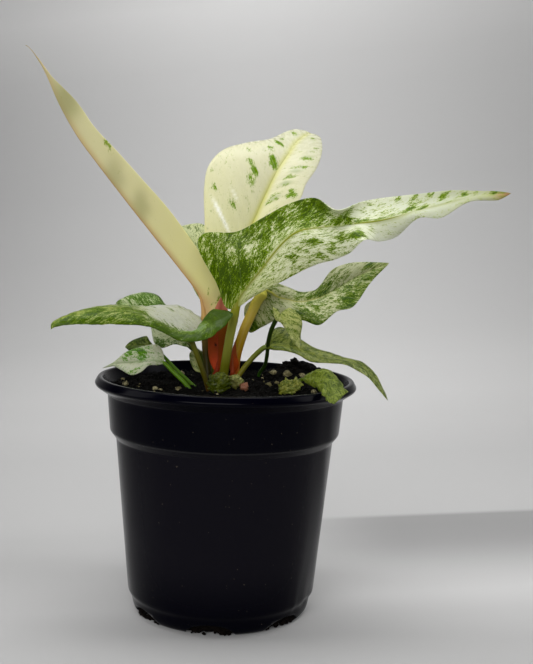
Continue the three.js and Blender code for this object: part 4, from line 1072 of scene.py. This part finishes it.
def ramp(stops, x):
    """Colours along a list of (place, colour code) stops."""
    places = [s[0] for s in stops]
    colours = np.array([rgb(s[1]) for s in stops])
    return np.stack([np.interp(x, places, colours[:, k]) for k in range(3)], axis=-1)


def painted(spots, places, points, start):
    """A number over the blade: its start value, changed by soft spots drawn out along the side veins."""
    t, u, veins = places["t"], places["u"], places["veins"]
    total = np.full(len(t), float(start))
    for spot_t, spot_u, along, across, amount in spots:
        centre = np.argmin((t - spot_t) ** 2 + ((u - spot_u) * HALF_BLADE_ROWS) ** 2)
        reach = np.linalg.norm(points - points[centre], axis=1)
        off_vein = np.minimum(np.abs(veins[:, 0] - veins[centre, 0]), reach)
        distance = (off_vein / across) ** 2 + (reach ** 2 - off_vein ** 2) / along ** 2
        other_side = np.where(u * spot_u >= 0, 1, 1e3)
        total += amount * np.exp(-(distance * other_side) ** 1.4)
    return total


def inside(outline, t, u, softness):
    """1 inside an outline of (t, u) points and 0 outside, with a soft edge."""
    corners = np.array(outline) * (1, HALF_BLADE_ROWS)
    p = np.stack([t, u * HALF_BLADE_ROWS], axis=-1)
    within = np.zeros(len(p), bool)
    nearest = np.full(len(p), 99.0)
    for a, b in zip(corners, np.roll(corners, -1, axis=0)):
        edge = b - a
        share = np.clip(((p - a) @ edge) / (edge @ edge), 0, 1)
        nearest = np.minimum(nearest, np.linalg.norm(p - a - share[:, None] * edge, axis=1))
        crosses = (a[1] > p[:, 1]) != (b[1] > p[:, 1])
        height = edge[1] if abs(edge[1]) > 1e-9 else 1e-9
        within ^= crosses & (p[:, 0] < a[0] + edge[0] * (p[:, 1] - a[1]) / height)
    signed = np.where(within, nearest, -nearest)
    return ease(0.5 + signed / (2 * softness))


def tinted(tissue, colour, amount):
    """Colours moved toward another colour by an amount at each point."""
    return tissue + (np.array(rgb(colour)) - tissue) * amount[:, None]


def blade_paint(leaf, points, places):
    """The colour of the pale tissue at each point of a blade, and how much green covers it."""
    t, u, under = places["t"], places["u"], places["under"]
    share = t / (len(leaf["rows"]) + 1)
    rib_width = leaf["rib_width"] * (1 + leaf["rib_flare"] * np.exp(-12 * share))
    rib_amount = np.exp(-(places["veins"][:, 1] / rib_width) ** 2) * leaf["rib_strength"]
    rib_amount *= 1 - 0.6 * share
    tissue = tinted(ramp(leaf["pale"], share), leaf["rib"], rib_amount)
    for colour, strokes in leaf["tints"]:
        tissue = tinted(tissue, colour, np.clip(painted(strokes, places, points, 0), 0, 1))
    tissue = tinted(tissue, UNDERSIDE, under * leaf["under"])
    cover = painted(leaf["spots"], places, points, leaf["cover"])
    for amount, softness, outline in leaf["zones"]:
        cover += amount * inside(outline, t, u, softness)
    return tissue, cover - rib_amount * RIB_CLEARS - under * UNDERSIDE_CLEARS


def leaf_piece(node):
    """One leaf with its stalk, as one finished piece."""
    leaf = {**PLAIN_LEAF, **LEAVES[node]}
    points, faces, places, blade = blade_mesh(leaf)
    stalk_points, stalk_faces, stalk_places = stalk_mesh(leaf, blade)
    faces += [[k + len(points) for k in face] for face in stalk_faces]
    piece = new_object(
        node.replace("leaf_", "blade_").replace("sheath_", "dry_sheath_").replace("scrap_", "dry_scrap_"),
        np.vstack([points, stalk_points]), faces, leaf_material(node, leaf),
    )
    tissue, cover = blade_paint(leaf, points, places)
    stalk_tissue = ramp(leaf["stalk_pale"], stalk_places["place"])
    stalk_cover = np.full(len(stalk_tissue), STALK_COVER)
    add_colour(piece, "tissue", np.vstack([tissue, stalk_tissue]))
    add_number(piece, "cover", np.concatenate([cover, stalk_cover]))
    add_places(piece, "veins", np.vstack([places["veins"], stalk_places["veins"]]))
    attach(piece, "root")
    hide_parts(node)


# Pot and soil


def body_point(z, inward=0):
    """Radius and height on the pot's tapering body, or that far inside it."""
    slope = (BODY_TOP[0] - BODY_FOOT[0]) / (BODY_TOP[1] - BODY_FOOT[1])
    return BODY_FOOT[0] + (z - BODY_FOOT[1]) * slope - inward, z


def pot_profile():
    """Radius and height of the pot's skin, up the outside and down the inside, with crisp edges."""
    foot = [
        (0.01, 0), (14, 0), (15.5, 0.8), (23.5, 0.8), (25, 0), (33.4, 0), (34.8, 0.3), (35.9, 1),
        (36.7, 2), (37.15, 3.2), (37.5, 5), (37.75, 6.2), (38.15, 7.2), (38.7, 8), (39.15, 8.9),
    ]
    side = [body_point(z) for z in (10, 25, 40, 60, 72, 72.9)]
    band = [
        (45.34, 73.15), (45.55, 73.4), (45.8, 73.7), (47.1, 75.4), (47.3, 75.65),
        (47.62, 76.15), (47.8, 76.6), (47.87, 77.1), (47.95, 78), (48.95, 90), (49.03, 91.2),
        (49.12, 91.6), (49.35, 91.85), (49.8, 92.1), (50.3, 92.43),
    ]
    lip = [
        (53.05, 94.32), (53.45, 94.6), (53.9, 94.95), (54.17, 95.35), (54.3, 95.75), (54.28, 96.1),
        (54.15, 96.4), (53.4, 97.75), (53.2, 98.08), (52.9, 98.35), (52.5, 98.48), (52, RIM_TOP),
        (51.5, 98.4), (51.2, 98.15), (51.05, 97.8),
    ]
    inner_band = [
        (50.6, 96.8), (50.1, 95.9), (49.4, 94.7), (48.5, 93.2), (47.75, 91), (46.6, 78), (44, 74.2),
    ]
    inner_side = [body_point(z, WALL) for z in (60, 40, 10)]
    floor = [(36, 3.6), (34.8, 1.6), (0.01, 1.6)]
    return foot + side + band + lip + inner_band + inner_side + floor


def lathe(name, profile, sides, material):
    """A closed turned body about the vertical axis."""
    angle = 2 * np.pi * np.arange(sides) / sides
    ring = np.stack([np.cos(angle), np.sin(angle)], axis=-1)
    p = np.array(profile, float)
    flat = p[:, None, :1] * ring[None]
    points = np.concatenate([flat, np.repeat(p[:, None, 1:], sides, axis=1)], axis=-1)
    faces = tube_faces(len(p), sides) + end_caps(len(p), sides)
    return new_object(name, points.reshape(-1, 3), faces, material)


def notch(angle):
    """Points and faces of the arched bar that cuts one notch through the foot."""
    outward = np.array([math.sin(angle), -math.cos(angle), 0])
    across = np.array([-outward[1], outward[0], 0])
    turn = 2 * np.pi * (np.arange(NOTCH_SIDES) + 0.5) / NOTCH_SIDES
    arch = np.cos(turn)[:, None] * NOTCH_HALF_WIDTH * across
    arch = arch + np.sin(turn)[:, None] * NOTCH_HEIGHT * np.array([0, 0, 1])
    points = np.vstack([arch + outward * NOTCH_FROM, arch + outward * NOTCH_TO])
    return points.tolist(), tube_faces(2, NOTCH_SIDES) + end_caps(2, NOTCH_SIDES)


def notch_angles():
    """The angle of each notch to the right of the front, in radians."""
    return [math.radians(NOTCH_FIRST_ANGLE + i * 360 / NOTCH_COUNT) for i in range(NOTCH_COUNT)]


def gathered(name, parts, material, smooth=True):
    """One object of many small parts."""
    points, faces = [], []
    for part_points, part_faces in parts:
        faces += [[k + len(points) for k in face] for face in part_faces]
        points += part_points
    return new_object(name, points, faces, material, smooth)


def cut_notches(pot):
    """Cuts the drain notches round the foot."""
    cutter = gathered("cutter", [notch(angle) for angle in notch_angles()], pot.data.materials[0], False)
    cut = pot.modifiers.new("notches", "BOOLEAN")
    cut.operation = "DIFFERENCE"
    cut.solver = "EXACT"
    cut.object = cutter
    shown = pot.evaluated_get(bpy.context.evaluated_depsgraph_get())
    mesh = bpy.data.meshes.new_from_object(shown)
    pot.modifiers.clear()
    pot.data = mesh
    bpy.data.objects.remove(cutter)


def dent(pot):
    """A dent low on the pot's right front, with a crease down its near side."""
    for vertex in pot.data.vertices:
        p = np.array(vertex.co) / MM
        angle = math.degrees(math.atan2(p[0], -p[1])) - DENT_ANGLE
        height = p[2] - DENT_HEIGHT
        hollow = math.exp(-((angle - 6 - 0.25 * height) / 9) ** 2 - (height / 11) ** 2)
        crease = math.exp(-((angle - 0.25 * height) / 2.5) ** 2 - ((height + 1) / 8) ** 2)
        kink = math.exp(-((angle - 16) / 7) ** 2 - ((height + 9) / 3) ** 2)
        push = 0.9 * hollow - 0.35 * crease + 0.9 * kink
        radius = math.hypot(p[0], p[1])
        if radius > DENT_LEAST_RADIUS and abs(push) > 0.001:
            vertex.co.x -= vertex.co.x / radius * push
            vertex.co.y -= vertex.co.y / radius * push


def plastic_material():
    """Satin black plastic with faint scratches and a little dust, with painted light on the body, which is
    paler than the band, and a painted highlight line on the step.
    """
    m = Nodes("pot_plastic")
    place = m.place()
    scratches = m.noise(m.stretched(place, (900, 900, 60)), 1, 3, 0.6)
    smear = m.noise(place, 45, 3, 0.6)
    specks = m.spread(m.noise(place, 700, 1, 0.5), 0.76, 0.8)
    height = m.axes(place)[2]
    # Painted light: the body paler than the band and the foot
    colour = m.mix(m.band(height, *PAINTED_LIGHT_HEIGHTS), rgb("010107"), rgb("0d0c12"))
    # A painted highlight line on the step
    colour = m.mix(m.band(height, *STEP_HIGHLIGHT_HEIGHTS), colour, rgb("1e1e20"))
    colour = m.mix(m.times(specks, 0.3), colour, rgb("5c5448"))
    roughness = m.spread(smear, 0.35, 0.7, 0.16, 0.23)
    normal = m.bump(scratches, 0.00003, 0.4, m.bump(m.noise(place, 60, 2), 0.0004, 0.08))
    return m.finish(
        Base_Color=colour, Roughness=roughness, Normal=normal, Specular_IOR_Level=0.05,
        Sheen_Weight=0.07, Sheen_Roughness=0.25,
    )


def soil_height(x, y):
    """Height of the soil, with its mounds and slow lumps."""
    height = SOIL_LEVEL
    for at_x, at_y, rise, reach in (CROWN_MOUND, REAR_MOUND):
        height = height + rise * np.exp(-((x - at_x) ** 2 + (y - at_y) ** 2) / reach ** 2)
    lumps = np.sin(0.55 * x + 1.3) * np.cos(0.62 * y - 0.4) + 0.6 * np.sin(1.1 * x - 0.9 * y)
    return float(height + SOIL_LUMP_HEIGHT * lumps)


def rough(x, y, size):
    """Smooth noise over the soil, about 1 high, with lumps of that size."""
    return noise.noise(Vector((x / size, y / size, 0.37)))


def soil_material():
    """Nearly black peat with some paler fibres, and down at the foot of the pot, in the notches, an even
    dark brown darkened with painted shade.
    """
    m = Nodes("soil")
    place = m.place()
    coarse = m.noise(place, 380, 4, 0.65)
    fine = m.noise(place, 1300, 4, 0.7)
    colour = m.mix(m.spread(coarse, 0.4, 0.72), rgb("020201"), rgb("0a0705"))
    colour = m.mix(m.spread(fine, 0.64, 0.8), colour, rgb("20160e"))
    # Painted shade: down at the foot of the pot, in the notches, the peat is an even dark brown
    colour = m.mix(m.spread(m.axes(place)[2], 0.005, 0.007, 1, 0), colour, rgb("080402"))
    normal = m.bump(fine, 0.0004, 0.9, m.bump(coarse, 0.001, 0.8))
    return m.finish(Base_Color=colour, Roughness=0.92, Normal=normal, Specular_IOR_Level=0.08)


def perlite_material():
    """Dull cream, porous perlite stained by the peat."""
    m = Nodes("perlite")
    place = m.place()
    pores = m.noise(place, 1500, 3, 0.6)
    stain = m.noise(place, 160, 2, 0.5)
    colour = m.mix(m.spread(pores, 0.35, 0.7), rgb("4c4628"), rgb("a89f78"))
    colour = m.mix(m.spread(stain, 0.45, 0.62), colour, rgb("4a4420"))
    return m.finish(Base_Color=colour, Roughness=0.85, Normal=m.bump(pores, 0.0003, 0.8))


def soil_body(material):
    """The soil's rough top, over a plain body that fills the pot."""
    sides = POT_SIDES
    angle = 2 * np.pi * np.arange(sides) / sides
    points = [(0, 0, soil_height(0, 0))]
    for r in SOIL_RADIUS * np.linspace(0, 1, SOIL_RINGS + 1)[1:]:
        for a in angle:
            x, y = r * math.cos(a), r * math.sin(a)
            z = soil_height(x, y) + 0.9 * rough(x, y, 2.6) + 0.5 * rough(x + 50, y, 1.1)
            # Where the soil is heaped, it follows the wall, which leans out
            wider = 1 + 0.012 * max(0, min(z - SOIL_LEVEL - 0.3, 5)) * (r / SOIL_RADIUS) ** 6
            points.append((x * wider, y * wider, z))
    for radius, z in SOIL_SIDE:
        points += [(radius * math.cos(a), radius * math.sin(a), z) for a in angle]
    rings = SOIL_RINGS + len(SOIL_SIDE)
    faces = [[0, 1 + k, 1 + (k + 1) % sides] for k in range(sides)]
    faces += [[1 + face[k] for k in (0, 3, 2, 1)] for face in tube_faces(rings, sides)]
    faces.append([1 + k for k in reversed(end_caps(rings, sides)[1])])
    return new_object("soil_top", points, faces, material)


def lump(centre, radius, squash, draw, uneven=0.3):
    """Points and faces of a small uneven lump."""
    grown = bmesh.new()
    bmesh.ops.create_icosphere(grown, subdivisions=2 if radius > 0.7 else 1, radius=1)
    turn = Matrix.Rotation(draw.uniform(0, 6.28), 3, Vector((draw.random(), draw.random(), 1)).normalized())
    seed = Vector((draw.uniform(0, 90), draw.uniform(0, 90), 0))
    points = []
    for vertex in grown.verts:
        reach = radius * (1 + uneven * noise.noise(vertex.co * 1.7 + seed) * 2)
        p = turn @ (vertex.co * reach)
        points.append((centre[0] + p.x, centre[1] + p.y, centre[2] + p.z * squash))
    faces = [[v.index for v in face.verts] for face in grown.faces]
    grown.free()
    return points, faces


def surface_place(draw):
    """A random place on the soil, with its height."""
    r = SOIL_RADIUS * math.sqrt(draw.uniform(0, 0.96))
    a = draw.uniform(0, 2 * math.pi)
    x, y = r * math.cos(a), r * math.sin(a)
    return x, y, soil_height(x, y)


def crumbs(material):
    """Crumbs of peat lying on the soil, larger on the mound at the back."""
    draw = random.Random(CRUMB_SEED)
    parts = []
    for _ in range(CRUMB_COUNT):
        x, y, z = surface_place(draw)
        mound = math.exp(-((x - REAR_MOUND[0]) ** 2 + (y - REAR_MOUND[1]) ** 2) / 180)
        radius = 0.35 + (0.9 + 0.7 * mound) * draw.random() ** 3
        parts.append(lump((x, y, z + radius * 0.3), radius, draw.uniform(0.6, 1), draw, 0.45))
    return gathered("soil_crumbs", parts, material, smooth=False)


def spilled_soil(material):
    """Peat that shows in the notches of the foot."""
    draw = random.Random(SPILL_SEED)
    parts = []
    for middle in notch_angles():
        for _ in range(SPILL_COUNT):
            angle = middle + draw.uniform(-0.23, 0.23)
            radius = draw.uniform(0.5, 1.1)
            across = abs(math.sin(angle - middle)) * 36 / NOTCH_HALF_WIDTH
            top = NOTCH_HEIGHT * math.sqrt(max(0.02, 1 - across ** 2))
            z = radius * 0.8 + draw.random() * max(0, top - 1.6 * radius)
            reach = draw.uniform(33.6, 35.6)
            place = (math.sin(angle) * reach, -math.cos(angle) * reach, z)
            parts.append(lump(place, radius, 0.8, draw))
    return gathered("soil_spill", parts, material, smooth=False)


def fibres(material):
    """Short bent fibres of coir and roots on the soil."""
    draw = random.Random(FIBRE_SEED)
    upward = np.array([0, 0, 1])
    faces = tube_faces(FIBRE_STEPS + 1, FIBRE_SIDES) + end_caps(FIBRE_STEPS + 1, FIBRE_SIDES)
    parts = []
    for _ in range(FIBRE_COUNT):
        x, y, _z = surface_place(draw)
        heading = draw.uniform(0, 2 * math.pi)
        reach, radius = draw.uniform(1.5, 5), draw.uniform(0.08, 0.2)
        bend = draw.uniform(-0.5, 0.5)
        points = []
        for i in range(FIBRE_STEPS + 1):
            s = i / FIBRE_STEPS
            a = heading + bend * s
            centre = np.array([x + math.cos(a) * reach * s, y + math.sin(a) * reach * s, 0])
            centre[:2] *= min(1, (SOIL_RADIUS - 0.6) / max(np.hypot(*centre[:2]), 1e-6))
            centre[2] = soil_height(*centre[:2]) + 0.7 + 0.5 * math.sin(math.pi * s)
            sideways = np.array([-math.sin(a), math.cos(a), 0])
            for k in range(FIBRE_SIDES):
                turn = 2 * math.pi * k / FIBRE_SIDES
                spoke = sideways * math.cos(turn) + upward * math.sin(turn)
                points.append(tuple(centre + spoke * radius * (1 - 0.6 * s)))
        parts.append((points, faces))
    return gathered("soil_fibres", parts, material)


def perlite(material):
    """The pale grains, most with a small one beside it."""
    draw = random.Random(GRAIN_SEED)
    parts = []
    for x, y, radius in GRAINS:
        z = soil_height(x, y) + radius * 0.35
        parts.append(lump((x, y, z), radius, 0.8, draw))
        near_x, near_y = x + draw.uniform(-6, 6), y + draw.uniform(-6, 6)
        if math.hypot(near_x, near_y) < SOIL_RADIUS - 1.5:
            z = soil_height(near_x, near_y) + 0.5
            parts.append(lump((near_x, near_y, z), draw.uniform(0.25, 0.5), 0.9, draw))
    return gathered("soil_perlite", parts, material)


# Backdrop, light and camera


def paper_material():
    """Pale paper with painted light and shade: its tone changes along the floor and up the wall, with a
    painted shadow along the table's edge at the right and painted shade toward both sides.
    """
    m = Nodes("paper")
    across, along, height = m.axes(m.place())
    behind = m.less(along, m.times(across, PAPER_TURN))
    start, end = PAINTED_PAPER_SHADING[0][0], PAINTED_PAPER_SHADING[-1][0]
    path = m.add("ShaderNodeMapRange", {0: m.add_up(behind, height), 1: start, 2: end})
    tones = m.add("ShaderNodeValToRGB", {"Fac": path.outputs[0]})
    stops = tones.color_ramp.elements
    for place, _tone in PAINTED_PAPER_SHADING[1:-1]:
        stops.new((place - start) / (end - start))
    for stop, (_place, tone) in zip(stops, PAINTED_PAPER_SHADING):
        stop.color = (*(tone * share for share in PAPER_TINT), 1)
    colour = tones.outputs["Color"]
    # Painted shadow along the table's edge at the right
    edge = m.times(m.band(behind, *TABLE_SHADOW_BEHIND), m.spread(across, *TABLE_SHADOW_ACROSS))
    colour = m.mix(edge, colour, m.dulled(colour, TABLE_SHADOW_TONE))
    # Painted shade toward both sides of the paper
    for far, share in PAPER_SIDE_SHADE:
        colour = m.mix(m.spread(across, PAPER_MIDDLE, far), colour, m.dulled(colour, share))
    return m.finish(Base_Color=colour, Roughness=0.9, Specular_IOR_Level=0.1)


def backdrop():
    """Pale paper that lies under the pot and is swept up far behind it."""
    sweep = [(PAPER_NEAR, 0)]
    for step in range(BEND_STEPS + 1):
        angle = math.pi / 2 * step / BEND_STEPS
        behind = WALL_DISTANCE - BEND_RADIUS * (1 - math.sin(angle))
        sweep.append((behind, BEND_RADIUS * (1 - math.cos(angle))))
    sweep.append((WALL_DISTANCE, WALL_TOP))
    points = []
    for place, height in sweep:
        points += [(-PAPER_HALF_WIDTH, place, height), (PAPER_HALF_WIDTH, place, height)]
    faces = [[2 * k, 2 * k + 1, 2 * k + 3, 2 * k + 2] for k in range(len(sweep) - 1)]
    new_object("paper", points, faces, paper_material())


def area_light(name, place, target, size, power):
    """A rectangular soft light that faces a target and isn't seen itself."""
    lamp = bpy.data.lights.new(name, "AREA")
    lamp.shape = "RECTANGLE"
    lamp.size, lamp.size_y = size[0] * MM, size[1] * MM
    lamp.energy = power
    holder = bpy.data.objects.new(name, lamp)
    holder.location = Vector(place) * MM
    facing = Vector(target) - Vector(place)
    holder.rotation_euler = facing.to_track_quat("-Z", "Y").to_euler()
    holder.visible_camera = False
    bpy.context.scene.collection.objects.link(holder)


def lights():
    """The soft lights, in a room that is nearly dark."""
    for light in LIGHTS:
        area_light(*light)
    world = bpy.data.worlds.new("room")
    world.use_nodes = True
    background = world.node_tree.nodes["Background"]
    background.inputs["Color"].default_value = (1, 1, 1, 1)
    background.inputs["Strength"].default_value = ROOM_LIGHT
    bpy.context.scene.world = world
    bpy.context.scene.view_settings.view_transform = "Standard"


def camera():
    """The camera where the photograph was taken from."""
    view = bpy.data.cameras.new("camera")
    view.sensor_fit = "VERTICAL"
    view.sensor_height = SENSOR
    view.sensor_width = SENSOR
    view.lens = SENSOR * FOCAL_PIXELS / PICTURE_HEIGHT
    view.clip_start, view.clip_end = 0.01, 20
    holder = bpy.data.objects.new("camera", view)
    place = Matrix.Translation(Vector(CAMERA_PLACE) * MM)
    yaw = Matrix.Rotation(-CAMERA_YAW, 4, "Z")
    pitch = Matrix.Rotation(math.pi / 2 - CAMERA_PITCH, 4, "X")
    roll = Matrix.Rotation(CAMERA_ROLL, 4, "Z")
    holder.matrix_world = place @ yaw @ pitch @ roll
    bpy.context.scene.collection.objects.link(holder)
    bpy.context.scene.camera = holder


def main():
    """Builds the pieces, the paper, the lights and the camera."""
    for node in LEAVES:
        leaf_piece(node)
    pot = lathe("pot_shell", pot_profile(), POT_SIDES, plastic_material())
    dent(pot)
    cut_notches(pot)
    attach(pot, "root")
    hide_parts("pot")
    peat = soil_material()
    grains = perlite(perlite_material())
    for piece in (soil_body(peat), crumbs(peat), spilled_soil(peat), fibres(peat), grains):
        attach(piece, "root")
        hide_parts("soil")
    backdrop()
    lights()
    camera()


main()
